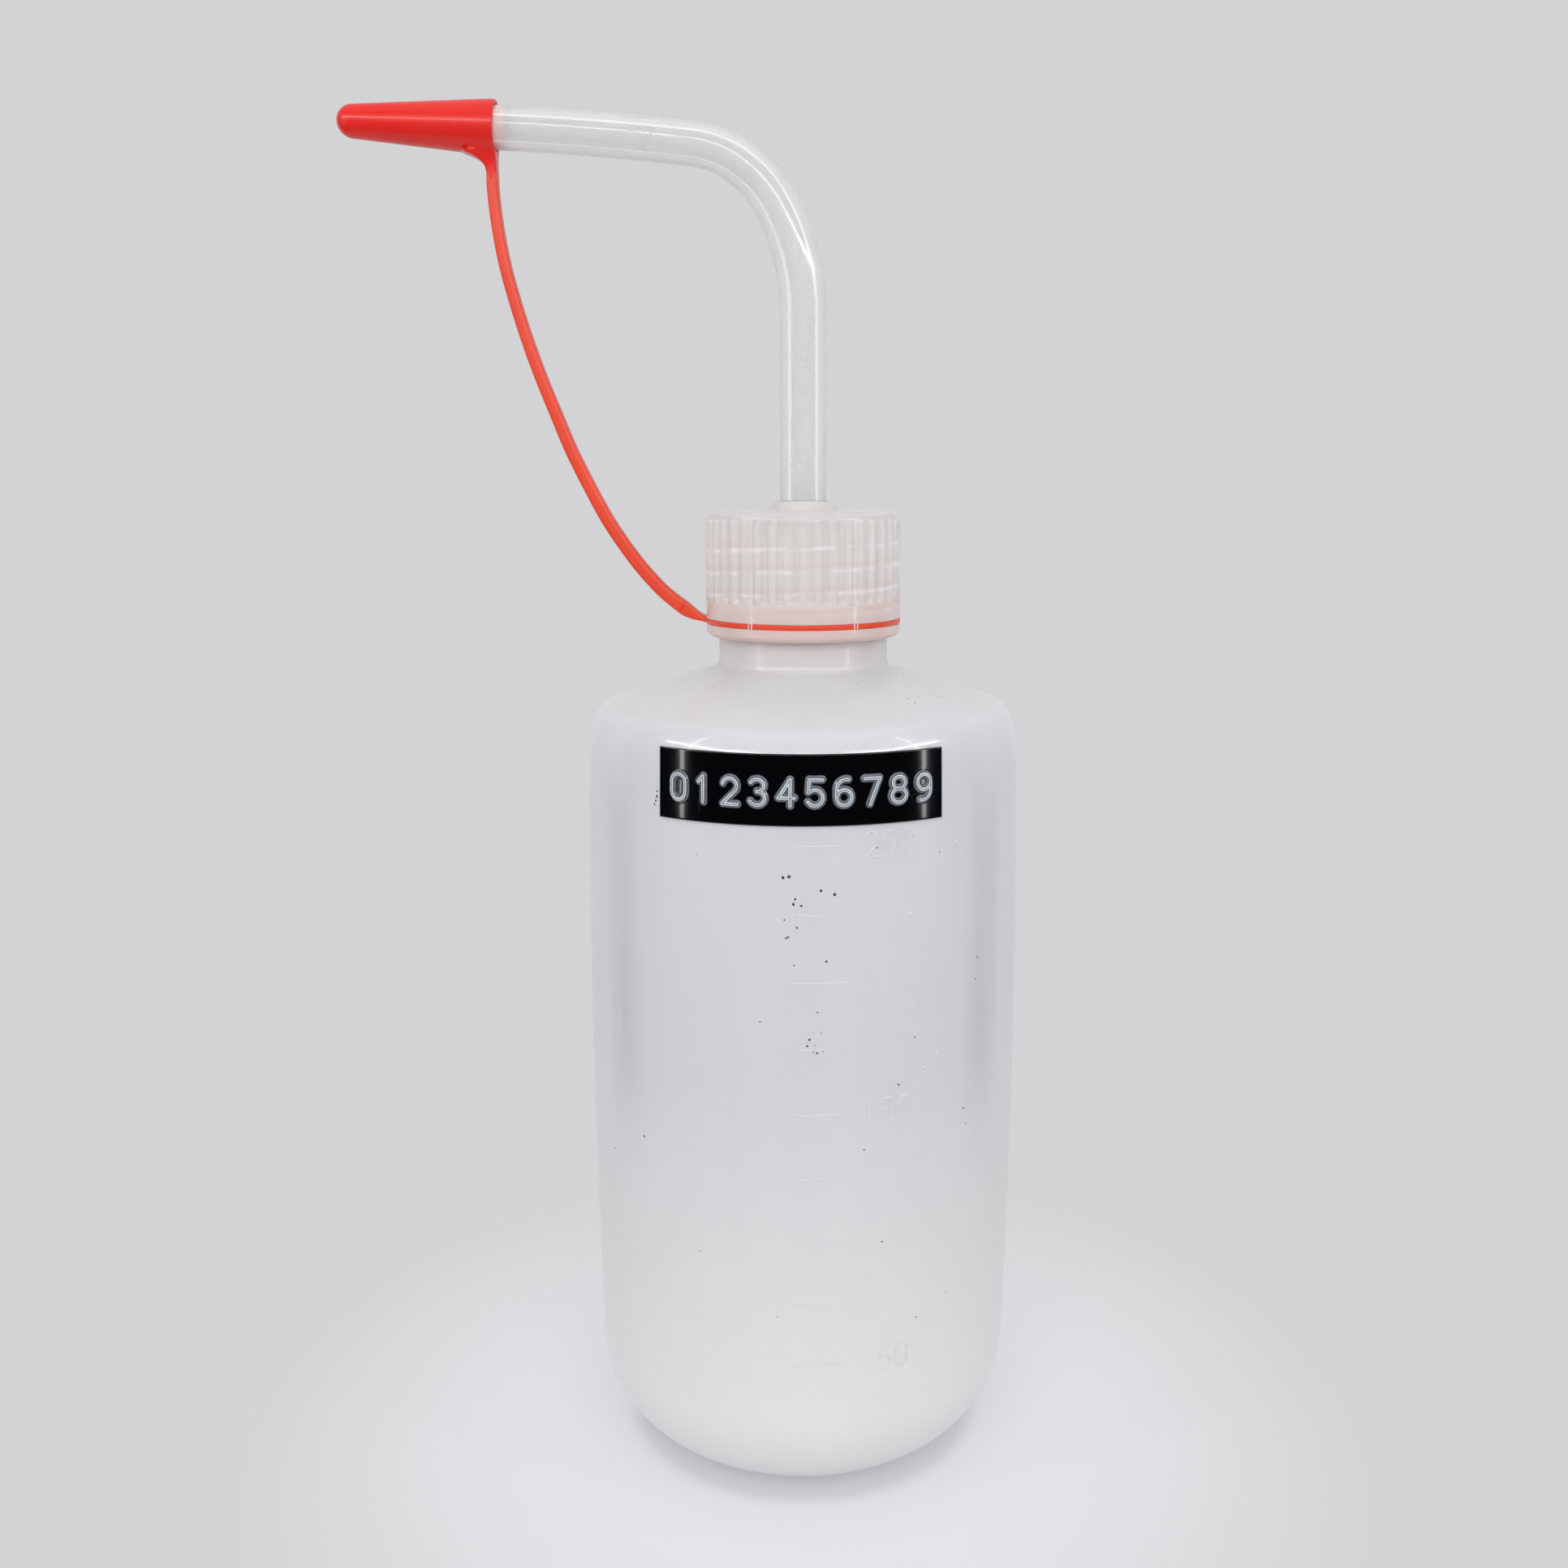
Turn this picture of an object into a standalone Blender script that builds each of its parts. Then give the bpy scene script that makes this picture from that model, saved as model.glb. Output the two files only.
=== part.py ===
"""Squeeze wash bottle: bottle, screw cap, bent spout, dip tube, tethered tip cap and label.

Metres, +Z up. The origin is the middle of the standing base, the spout points to -X
and the label faces -Y.
"""
import math

import bmesh
import bpy
from mathutils import Matrix, Vector

mm = 0.001
gap = 0.3 * mm                      # between pieces that touch on the real object

# Bottle
belly_radius = 30.5 * mm            # widest, at belly_height
belly_height = 59.0 * mm
belly_sag = 0.8 * mm                # how far the side falls back over belly_span
belly_span = 50.0 * mm
foot_round = 14.5 * mm              # rounding between the side and the base
shoulder_start = 100.9 * mm
shoulder_depth = 3.0 * mm           # the shoulder's rounding, inwards
shoulder_rise = 7.2 * mm            # the shoulder's rounding, upwards
shoulder_slope = math.radians(17.3)
wall = 1.0 * mm
floor_wall = 1.3 * mm
base_groove_radius = 10.0 * mm
base_groove_width = 2.4 * mm
base_groove_depth = 0.5 * mm
shoulder_fillet = 0.9 * mm          # where the shoulder meets the neck

# Neck
neck_radius = 11.7 * mm             # plain land under the thread, and the thread's crest
neck_land_top = 120.6 * mm
neck_top = 130.3 * mm
neck_bore = 9.4 * mm
neck_lip_round = 0.4 * mm
thread_root = 10.8 * mm
thread_bead = 0.8 * mm              # radius of the round thread
thread_pitch = 3.0 * mm
thread_fade_start = 0.45            # share of the full thread at its very end
thread_fade_step = 0.2              # share gained at each point from there
neck_thread_start = 122.3 * mm
neck_thread_turns = 2.0

# Screw cap
cap_bottom = 117.2 * mm
cap_top = 134.2 * mm
cap_radius = 13.45 * mm             # smooth band and rib crests
cap_bore = 12.0 * mm
cap_roof = 1.8 * mm
cap_edge = 1.0 * mm                 # rounding of the top edge
cap_lip = 0.5 * mm                  # chamfer at the open end
rib_count = 40
rib_height = 0.45 * mm
rib_foot = 0.34                     # half widths, as shares of the rib pitch
rib_crest = 0.2
rib_crest_drop = 0.12 * mm          # keeps the crests just inside the smooth band
rib_foot_drop = 0.04 * mm
rib_bottom = 122.3 * mm
rib_top = 133.4 * mm
cap_thread_start = 122.3 * mm
cap_thread_turns = 1.4
groove_floor = 12.5 * mm
ring_height = 0.7 * mm
ring_level = 119.25 * mm            # middle of the tether ring
ring_inner = 12.8 * mm
ring_outer = 13.5 * mm
collar_base = 4.8 * mm
collar_tip = 3.85 * mm
collar_top = 135.5 * mm
liner_radius = 10.9 * mm
liner_thickness = 1.5 * mm
liner_edge = 0.2 * mm

# Spout and dip tube
tube_radius = 3.15 * mm             # upright stretch
mouth_radius = 2.8 * mm             # where the tip cap starts
tube_bore = 1.25 * mm
bend_start = 160.6 * mm
bends = (                           # centreline radius and angle, from the upright on
    (27.9 * mm, math.radians(31.0)),
    (14.5 * mm, math.radians(52.8)),
    (385.0 * mm, math.radians(3.8)),
)
flange_top = 130.2 * mm             # retaining flange under the liner
flange_radius = 4.4 * mm
flange_thickness = 1.0 * mm
stub_radius = 1.9 * mm
stub_bottom = 120.0 * mm
stub_lead = 0.3 * mm                # chamfer on the stub's end
splice_drop = 20.0 * mm             # from the bend down to where the two stretches meet
straight_lead = 8.0 * mm            # keeps the tube straight up to the bend
overrun = 1.0 * mm                  # how far a cutting or joining shape runs on
dip_bore = 2.2 * mm
dip_bottom = 4.5 * mm
dip_slant = 2.6 * mm
dip_slant_angle = math.radians(35.0)
jet_length = 14.0 * mm
jet_shoulder = 5.0 * mm             # from the tip cap's mouth to where the jet has narrowed
jet_shoulder_radius = 2.2 * mm
jet_radius = 1.0 * mm
jet_bore = 0.5 * mm
jet_bore_length = 3.0 * mm

# Tip cap and its tether
tip_length = 21.0 * mm
tip_mouth_radius = 3.5 * mm
tip_nose_radius = 2.15 * mm
tip_hollow = 15.5 * mm              # depth of the hollow from the mouth
tip_mouth_edge = 0.3 * mm
tip_lug_along = 0.75 * mm           # from the mouth to the lug's middle
tip_lug_sunk = 0.25 * mm            # how far the lug sinks into the cap's wall
tip_lug_radii = (1.0 * mm, 1.05 * mm, 1.3 * mm)
ring_lug_radii = (0.85 * mm, 0.6 * mm, 0.3 * mm)
ring_lug_reach = 0.9 * mm           # the ring lug's knee, out from the ring
ring_lug_lift = 0.45 * mm
strap_radius = 0.8 * mm
strap_route = (                     # X, Z from the tip cap's lug down to the ring's lug
    (-41.05 * mm, 178.20 * mm),
    (-41.00 * mm, 175.45 * mm),
    (-40.52 * mm, 170.83 * mm),
    (-39.72 * mm, 166.17 * mm),
    (-38.52 * mm, 161.48 * mm),
    (-37.10 * mm, 156.74 * mm),
    (-35.45 * mm, 151.97 * mm),
    (-33.56 * mm, 147.15 * mm),
    (-31.60 * mm, 142.29 * mm),
    (-29.23 * mm, 137.39 * mm),
    (-26.56 * mm, 132.44 * mm),
    (-23.14 * mm, 127.45 * mm),
    (-20.28 * mm, 124.10 * mm),
    (-18.50 * mm, 122.42 * mm),
    (-16.60 * mm, 120.95 * mm),
)

# Label
label_height = 9.0 * mm
label_bottom = 96.4 * mm
label_angle = math.radians(71.0)
label_thickness = 0.35 * mm
label_steps = 18

round_steps = 48                    # facets round the bottle
small_steps = 32                    # facets round small turned pieces


def clear_scene():
    for item in list(bpy.data.objects):
        bpy.data.objects.remove(item, do_unlink=True)


def new_collection(name):
    collection = bpy.data.collections.new(name)
    bpy.context.scene.collection.children.link(collection)
    return collection


def plastic(name, colour, roughness, alpha=1.0):
    material = bpy.data.materials.new(name)
    material.use_nodes = True
    shader = material.node_tree.nodes["Principled BSDF"]
    shader.inputs["Base Color"].default_value = (*colour, 1.0)
    shader.inputs["Roughness"].default_value = roughness
    shader.inputs["Metallic"].default_value = 0.0
    shader.inputs["Alpha"].default_value = alpha
    return material


def add_object(name, mesh, collection, material=None):
    item = bpy.data.objects.new(name, mesh)
    collection.objects.link(item)
    if material:
        mesh.materials.append(material)
    return item


def arc(centre, radius_r, radius_z, start, end, count):
    """Points of an ellipse arc in the profile plane, from start to end in degrees."""
    points = []
    for i in range(count + 1):
        angle = math.radians(start + (end - start) * i / count)
        points.append((
            centre[0] + radius_r * math.cos(angle),
            centre[1] + radius_z * math.sin(angle),
        ))
    return points


def turned(name, profile, steps, collection, material, closed=True):
    """A profile of (radius, height) points, outer side running down, turned round Z."""
    mesh = bpy.data.meshes.new(name)
    edges = [(i, i + 1) for i in range(len(profile) - 1)]
    if closed:
        edges.append((len(profile) - 1, 0))
    mesh.from_pydata([(r, 0.0, z) for r, z in profile], edges, [])
    item = add_object(name, mesh, collection, material)
    screw = item.modifiers.new("Turn", "SCREW")
    screw.angle = math.tau
    screw.steps = steps
    screw.render_steps = steps
    screw.use_merge_vertices = True
    screw.merge_threshold = 0.00001
    return item


def evaluated_mesh(item):
    depsgraph = bpy.context.evaluated_depsgraph_get()
    depsgraph.update()
    return bpy.data.meshes.new_from_object(item.evaluated_get(depsgraph), depsgraph=depsgraph)


def curve_to_mesh_object(curve_item, collection, material=None):
    """The curve's closed tube as a mesh object in its place."""
    mesh = evaluated_mesh(curve_item)
    shape = bmesh.new()
    shape.from_mesh(mesh)
    bmesh.ops.remove_doubles(shape, verts=shape.verts, dist=0.000001)
    bmesh.ops.recalc_face_normals(shape, faces=shape.faces)
    shape.to_mesh(mesh)
    shape.free()
    name = curve_item.name
    place = curve_item.matrix_world.copy()
    bpy.data.objects.remove(curve_item, do_unlink=True)
    mesh.materials.clear()
    item = add_object(name, mesh, collection, material)
    item.matrix_world = place
    return item


def tube_curve(name, points, radii, collection, material=None, resolution=2):
    """A round tube through the points, with its own radius at each one."""
    curve = bpy.data.curves.new(name, "CURVE")
    curve.dimensions = "3D"
    curve.bevel_depth = 1.0
    curve.bevel_resolution = resolution
    curve.use_fill_caps = True
    spline = curve.splines.new("POLY")
    spline.points.add(len(points) - 1)
    for point, place, radius in zip(spline.points, points, radii):
        point.co = (*place, 1.0)
        point.radius = radius
    if material:
        curve.materials.append(material)
    item = bpy.data.objects.new(name, curve)
    collection.objects.link(item)
    return item


def combine(item, other, operation):
    """Adds a Boolean to item and hides other as its tool."""
    other.hide_render = True
    other.display_type = "WIRE"
    boolean = item.modifiers.new(operation.title(), "BOOLEAN")
    boolean.operation = operation
    boolean.solver = "EXACT"
    boolean.object = other


def smooth(item, angle=35.0):
    """Fixes the modifiers' result in the mesh and shades its round faces smooth."""
    materials = [slot.material for slot in item.material_slots]
    mesh = evaluated_mesh(item)
    item.modifiers.clear()
    item.data = mesh
    mesh.materials.clear()
    for material in materials:
        mesh.materials.append(material)
    mesh.polygons.foreach_set("material_index", [0] * len(mesh.polygons))
    mesh.shade_smooth()
    mesh.set_sharp_from_angle(angle=math.radians(angle))


def side_radius(height):
    """The bottle's slightly barrel-shaped side."""
    return belly_radius - belly_sag * ((height - belly_height) / belly_span) ** 2


def bottle_side(inset, floor_height):
    """The bottle's side from the base's edge up to the shoulder's line, moved in by inset."""
    foot_top = foot_round
    foot_centre = side_radius(foot_top) - foot_round
    points = arc((foot_centre, foot_top), foot_round - inset, foot_top - floor_height, -90.0, 0.0, 8)
    for i in range(1, 6):
        height = foot_top + (shoulder_start - foot_top) * i / 6
        points.append((side_radius(height) - inset, height))
    line_start = math.degrees(math.atan(shoulder_rise / shoulder_depth / math.tan(shoulder_slope)))
    centre = (side_radius(shoulder_start) - shoulder_depth, shoulder_start)
    points += arc(centre, shoulder_depth - inset, shoulder_rise - inset, 0.0, line_start, 7)
    return points


def shoulder_height(radius, inset):
    """Height of the sloping shoulder at a radius, moved down by inset."""
    last = bottle_side(inset, 0.0)[-1]
    return last[1] + (last[0] - radius) * math.tan(shoulder_slope)


def helix_points(radius, start, turns, per_turn=20):
    count = round(turns * per_turn)
    points = []
    for i in range(count + 1):
        angle = math.tau * i / per_turn
        height = start + thread_pitch * i / per_turn
        points.append((radius * math.cos(angle), radius * math.sin(angle), height))
    return points


def thread(name, radius, start, turns, collection, phase):
    """A round screw thread that fades out at both ends."""
    points = helix_points(radius, start, turns)
    radii = []
    for i in range(len(points)):
        fade = min(1.0, thread_fade_start + thread_fade_step * min(i, len(points) - 1 - i))
        radii.append(thread_bead * fade)
    curve_item = tube_curve(name, points, radii, collection)
    curve_item.rotation_euler.z = phase
    bpy.context.view_layer.update()
    return curve_to_mesh_object(curve_item, collection)


def make_bottle(parts, cutters, material):
    outer = bottle_side(0.0, 0.0)
    inner = bottle_side(wall, floor_wall)
    neck_root = shoulder_height(neck_radius, 0.0)
    fillet = shoulder_fillet
    fillet_start = neck_radius + 1.3 * fillet
    lip_middle = (thread_root + neck_bore) / 2
    lip_half = (thread_root - neck_bore) / 2
    groove_in = base_groove_radius - base_groove_width / 2
    groove_out = base_groove_radius + base_groove_width / 2
    profile = [(0.0, floor_wall)]
    profile += inner
    profile += [
        (neck_bore + fillet, shoulder_height(neck_bore + fillet, wall)),
        (neck_bore, shoulder_height(neck_bore, wall) + fillet),
        (neck_bore, neck_top - neck_lip_round),
    ]
    profile += arc((lip_middle, neck_top - neck_lip_round), lip_half, neck_lip_round, 150.0, 30.0, 3)
    profile += [
        (thread_root, neck_top - neck_lip_round),
        (thread_root, neck_land_top + neck_radius - thread_root),
        (neck_radius, neck_land_top),
        (neck_radius, neck_root + fillet),
        (neck_radius + 0.35 * fillet, neck_root + 0.25 * fillet),
        (fillet_start, shoulder_height(fillet_start, 0.0)),
    ]
    profile += list(reversed(outer))
    profile += [
        (groove_out, 0.0),
        (groove_out - base_groove_depth, base_groove_depth),
        (groove_in + base_groove_depth, base_groove_depth),
        (groove_in, 0.0),
        (0.0, 0.0),
    ]
    bottle = turned("bottle", profile, round_steps, parts, material, closed=False)
    ridge = thread("neck_thread", thread_root, neck_thread_start, neck_thread_turns, cutters, 0.0)
    combine(bottle, ridge, "UNION")
    smooth(bottle)


def rib_sleeve(collection):
    """A ring with the ribs on its outside, from rib_bottom's band up to rib_top."""
    curve = bpy.data.curves.new("rib_sleeve", "CURVE")
    curve.dimensions = "2D"
    curve.fill_mode = "BOTH"
    bottom = rib_bottom - overrun
    curve.extrude = (rib_top - bottom) / 2
    low = cap_radius - rib_height - rib_foot_drop
    crest = cap_radius - rib_crest_drop
    outline = []
    for i in range(rib_count):
        for offset, radius in ((-rib_foot, low), (-rib_crest, crest), (rib_crest, crest), (rib_foot, low)):
            angle = math.tau * (i + offset) / rib_count
            outline.append((radius * math.cos(angle), radius * math.sin(angle)))
    inside = []
    middle = (cap_bore + low) / 2
    for i in range(small_steps):
        angle = math.tau * i / small_steps
        inside.append((middle * math.cos(angle), middle * math.sin(angle)))
    for ring in (outline, inside):
        spline = curve.splines.new("POLY")
        spline.use_cyclic_u = True
        spline.points.add(len(ring) - 1)
        for point, place in zip(spline.points, ring):
            point.co = (*place, 0.0, 1.0)
    item = bpy.data.objects.new("rib_sleeve", curve)
    collection.objects.link(item)
    item.location.z = (rib_top + bottom) / 2
    bpy.context.view_layer.update()
    return curve_to_mesh_object(item, collection)


def make_screw_cap(parts, cutters, material):
    groove_half = ring_height / 2 + gap
    valley = cap_radius - rib_height
    bore = tube_radius + gap
    softened = 0.3 * cap_edge
    profile = [
        (bore, collar_top),
        (collar_tip, collar_top),
        (collar_base, cap_top),
        (valley - cap_edge, cap_top),
        (valley - softened, cap_top - softened),
        (valley, cap_top - cap_edge),
        (valley, rib_bottom + rib_height),
        (cap_radius, rib_bottom),
        (cap_radius, ring_level + groove_half),
        (groove_floor, ring_level + groove_half),
        (groove_floor, ring_level - groove_half),
        (cap_radius, ring_level - groove_half),
        (cap_radius, cap_bottom + cap_lip),
        (cap_radius - cap_lip, cap_bottom),
        (cap_bore, cap_bottom),
        (cap_bore, cap_top - cap_roof),
        (bore, cap_top - cap_roof),
    ]
    cap = turned("screw_cap", profile, round_steps, parts, material)
    combine(cap, rib_sleeve(cutters), "UNION")
    half_turn = math.pi             # puts this thread midway between the neck's turns
    ridge = thread("cap_thread", cap_bore, cap_thread_start, cap_thread_turns, cutters, half_turn)
    combine(cap, ridge, "UNION")
    smooth(cap)


def make_liner(parts, material):
    top = cap_top - cap_roof - gap
    bottom = top - liner_thickness
    hole = tube_radius + 1.5 * gap
    profile = [
        (hole, top),
        (liner_radius - liner_edge, top),
        (liner_radius, top - liner_edge),
        (liner_radius, bottom + liner_edge),
        (liner_radius - liner_edge, bottom),
        (hole, bottom),
    ]
    turned("cap_liner", profile, small_steps, parts, material)


def spout_path():
    """Centreline points and directions of the bent tube, from the upright to the tip cap's mouth."""
    place = Vector((0.0, 0.0, bend_start))
    heading = math.pi / 2
    path = [(place.copy(), heading)]
    for radius, angle in bends:
        count = max(3, round(math.degrees(angle) / 6))
        for _ in range(count):
            step = angle / count
            chord = 2 * radius * math.sin(step / 2)
            place = place + chord * Vector((math.cos(heading + step / 2), 0.0, math.sin(heading + step / 2)))
            heading += step
            path.append((place.copy(), heading))
    return path


def tip_frame():
    """The matrix that carries +Z turned pieces onto the spout's end, mouth at the origin."""
    place, heading = spout_path()[-1]
    direction = Vector((math.cos(heading), 0.0, math.sin(heading)))
    turn = direction.to_track_quat("Z", "Y").to_matrix().to_4x4()
    return Matrix.Translation(place) @ turn


def make_spout(parts, cutters, material):
    path = spout_path()
    splice = bend_start - splice_drop
    flange_bottom = flange_top - flange_thickness
    heights = [
        (stub_bottom, stub_radius - stub_lead),
        (stub_bottom + 2 * stub_lead, stub_radius),
        (flange_bottom, stub_radius),
        (flange_bottom, flange_radius),
        (flange_top, flange_radius),
        (flange_top, tube_radius),
    ]
    profile = [(0.0, splice), (tube_radius, splice)]
    profile += [(radius, height) for height, radius in reversed(heights)]
    profile += [(0.0, stub_bottom)]
    foot = turned("spout", profile, small_steps // 2, parts, material, closed=False)

    # The bent stretch is its own tube that runs into the turned foot.
    points = [Vector((0.0, 0.0, splice - overrun)), Vector((0.0, 0.0, bend_start - straight_lead))]
    radii = [tube_radius, tube_radius]
    for i, (place, _) in enumerate(path):
        points.append(place)
        along = i / (len(path) - 1)
        radii.append(tube_radius + (mouth_radius - tube_radius) * along)
    frame = tip_frame()
    jet = (
        (0.3 * jet_shoulder, mouth_radius),
        (jet_shoulder, jet_shoulder_radius),
        (jet_length, jet_radius),
    )
    for along, radius in jet:
        points.append(frame @ Vector((0.0, 0.0, along)))
        radii.append(radius)
    outer = curve_to_mesh_object(tube_curve("spout_bend", points, radii, cutters, resolution=6), cutters)
    combine(foot, outer, "UNION")

    # One bore runs through both stretches and narrows before it leaves the jet.
    below = Vector((0.0, 0.0, stub_bottom - overrun))
    narrow = frame @ Vector((0.0, 0.0, jet_length - jet_bore_length))
    beyond = frame @ Vector((0.0, 0.0, jet_length + overrun))
    bore_points = [below] + points[1:-1] + [narrow, beyond]
    bore_radii = [tube_bore] * (len(bore_points) - 2) + [jet_bore, jet_bore]
    bore = curve_to_mesh_object(tube_curve("spout_bore", bore_points, bore_radii, cutters, resolution=3), cutters)
    combine(foot, bore, "DIFFERENCE")
    smooth(foot)


def make_dip_tube(parts, cutters, material):
    top = flange_top - flange_thickness - gap
    cutter_size = 8 * tube_radius
    profile = [
        (dip_bore, top),
        (tube_radius, top),
        (tube_radius, dip_bottom),
        (dip_bore, dip_bottom),
    ]
    tube = turned("dip_tube", profile, small_steps // 2, parts, material)
    bpy.ops.mesh.primitive_cube_add(size=cutter_size)
    cutter = bpy.context.object
    cutter.name = "dip_cutter"
    for collection in list(cutter.users_collection):
        collection.objects.unlink(cutter)
    cutters.objects.link(cutter)
    cutter.rotation_euler.y = -dip_slant_angle
    cutter.location.z = dip_bottom + dip_slant - cutter_size / 2 / math.cos(dip_slant_angle)
    bpy.context.view_layer.update()
    combine(tube, cutter, "DIFFERENCE")
    smooth(tube)


def make_tip_cap(parts, cutters, material):
    nose = tip_length - tip_nose_radius
    outside = [(0.0, tip_length)]
    outside += arc((0.0, nose), tip_nose_radius, tip_nose_radius, 78.0, 6.0, 5)
    outside += [
        (tip_mouth_radius, 4 * tip_mouth_edge),
        (tip_mouth_radius - 0.2 * tip_mouth_edge, tip_mouth_edge),
        (tip_mouth_radius - 0.4 * tip_mouth_edge, 0.0),
    ]
    hollow = [
        (mouth_radius + gap, 0.0),
        (mouth_radius + gap, 0.35 * jet_shoulder),
        (jet_shoulder_radius + gap, jet_shoulder),
        (jet_radius + gap, tip_hollow),
        (0.0, tip_hollow),
    ]
    cap = turned("tip_cap", outside + hollow, small_steps - 8, parts, material, closed=False)
    cap.matrix_world = tip_frame()
    bpy.context.view_layer.update()

    # A lug under the mouth carries the strap.
    drop = Vector((0.0, 0.0, tip_mouth_radius - tip_lug_sunk))
    root = cap.matrix_world @ Vector((0.0, 0.0, tip_lug_along)) - drop
    start = Vector((strap_route[0][0], 0.0, strap_route[0][1] + gap))
    middle = start.lerp(root, 0.6)
    lug = tube_curve("tip_lug", [start, middle, root], tip_lug_radii, cutters)
    combine(cap, curve_to_mesh_object(lug, cutters), "UNION")
    smooth(cap)


def make_tether_ring(parts, cutters, material):
    half = ring_height / 2
    profile = [
        (ring_inner, ring_level + half),
        (ring_outer, ring_level + half),
        (ring_outer, ring_level - half),
        (ring_inner, ring_level - half),
    ]
    ring = turned("tether_ring", profile, round_steps, parts, material)
    end = Vector((strap_route[-1][0], 0.0, strap_route[-1][1]))
    direction = (end - Vector((strap_route[-2][0], 0.0, strap_route[-2][1]))).normalized()
    root = Vector((-(ring_inner + ring_outer) / 2, 0.0, ring_level))
    start = end + direction * gap
    knee = Vector((-ring_outer - ring_lug_reach, 0.0, ring_level + ring_lug_lift))
    lug = tube_curve("ring_lug", [start, knee, root], ring_lug_radii, cutters)
    combine(ring, curve_to_mesh_object(lug, cutters), "UNION")
    smooth(ring)


def smooth_route(route, per_span):
    """Points of a Catmull-Rom curve through the route's own points."""
    places = [Vector((x, 0.0, z)) for x, z in route]
    first = 2 * places[0] - places[1]
    last = 2 * places[-1] - places[-2]
    knots = [first] + places + [last]
    points = []
    for i in range(1, len(knots) - 2):
        p0, p1, p2, p3 = knots[i - 1:i + 3]
        for j in range(per_span):
            t = j / per_span
            points.append(0.5 * (
                2 * p1
                + (p2 - p0) * t
                + (2 * p0 - 5 * p1 + 4 * p2 - p3) * t ** 2
                + (3 * p1 - p0 - 3 * p2 + p3) * t ** 3
            ))
    points.append(places[-1])
    return points


def make_strap(parts, material):
    points = smooth_route(strap_route, 2)
    tube_curve("tether_strap", points, [strap_radius] * len(points), parts, material)


def make_label(parts, material):
    """A strip of tape, curved round the front of the bottle."""
    inner = side_radius(label_bottom) + gap
    outer = inner + label_thickness
    middle = -math.pi / 2
    outline = []
    for radius, way in ((outer, 1), (inner, -1)):
        for i in range(label_steps + 1):
            angle = middle + way * label_angle * (i / label_steps - 0.5)
            outline.append((radius * math.cos(angle), radius * math.sin(angle)))
    curve = bpy.data.curves.new("label_tape", "CURVE")
    curve.dimensions = "2D"
    curve.fill_mode = "BOTH"
    curve.extrude = label_height / 2
    spline = curve.splines.new("POLY")
    spline.use_cyclic_u = True
    spline.points.add(len(outline) - 1)
    for point, place in zip(spline.points, outline):
        point.co = (*place, 0.0, 1.0)
    item = bpy.data.objects.new("label_tape", curve)
    parts.objects.link(item)
    item.location.z = label_bottom + label_height / 2
    bpy.context.view_layer.update()
    curve_to_mesh_object(item, parts, material)


def main():
    clear_scene()
    parts = new_collection("wash_bottle")
    cutters = new_collection("cutters")
    frosted = plastic("frosted_polyethylene", (0.82, 0.84, 0.86), 0.45, 0.6)
    cloudy = plastic("cloudy_polypropylene", (0.88, 0.82, 0.80), 0.3, 0.7)
    clear = plastic("clear_tube", (0.86, 0.88, 0.88), 0.15, 0.4)
    foam = plastic("white_foam", (0.85, 0.85, 0.83), 0.8)
    red = plastic("red_plastic", (0.86, 0.05, 0.03), 0.35)
    black = plastic("black_tape", (0.01, 0.01, 0.012), 0.15)
    make_bottle(parts, cutters, frosted)
    make_screw_cap(parts, cutters, cloudy)
    make_liner(parts, foam)
    make_spout(parts, cutters, clear)
    make_dip_tube(parts, cutters, clear)
    make_tip_cap(parts, cutters, red)
    make_tether_ring(parts, cutters, red)
    make_strap(parts, red)
    make_label(parts, black)


main()
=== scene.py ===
import math
import random

import bmesh
import bpy
import numpy as np
from mathutils import Matrix, Vector


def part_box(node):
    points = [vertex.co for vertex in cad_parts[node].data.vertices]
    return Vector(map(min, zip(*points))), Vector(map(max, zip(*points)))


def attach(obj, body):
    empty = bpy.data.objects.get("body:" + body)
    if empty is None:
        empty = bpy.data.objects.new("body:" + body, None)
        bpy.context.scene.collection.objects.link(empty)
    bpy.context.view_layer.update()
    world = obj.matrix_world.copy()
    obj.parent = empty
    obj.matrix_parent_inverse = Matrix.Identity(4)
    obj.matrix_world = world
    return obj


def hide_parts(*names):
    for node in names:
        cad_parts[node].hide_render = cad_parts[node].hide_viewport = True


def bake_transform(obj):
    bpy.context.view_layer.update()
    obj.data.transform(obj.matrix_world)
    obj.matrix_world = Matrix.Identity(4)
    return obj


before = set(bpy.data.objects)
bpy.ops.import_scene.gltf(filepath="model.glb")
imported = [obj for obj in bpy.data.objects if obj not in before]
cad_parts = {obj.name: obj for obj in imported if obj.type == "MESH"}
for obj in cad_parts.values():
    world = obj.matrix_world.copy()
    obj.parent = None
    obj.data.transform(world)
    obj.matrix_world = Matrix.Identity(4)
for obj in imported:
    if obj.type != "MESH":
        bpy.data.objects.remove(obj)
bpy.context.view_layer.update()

mm = 0.001
plasticIndex = 1.49
bottleLow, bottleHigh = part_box("bottle")
capLow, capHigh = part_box("screw_cap")
linerLow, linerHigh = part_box("cap_liner")
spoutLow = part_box("spout")[0]
dipLow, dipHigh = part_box("dip_tube")
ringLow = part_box("tether_ring")[0]
tapeLow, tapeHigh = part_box("label_tape")


def eased(share):
    return share * share * (3.0 - 2.0 * share)


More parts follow.
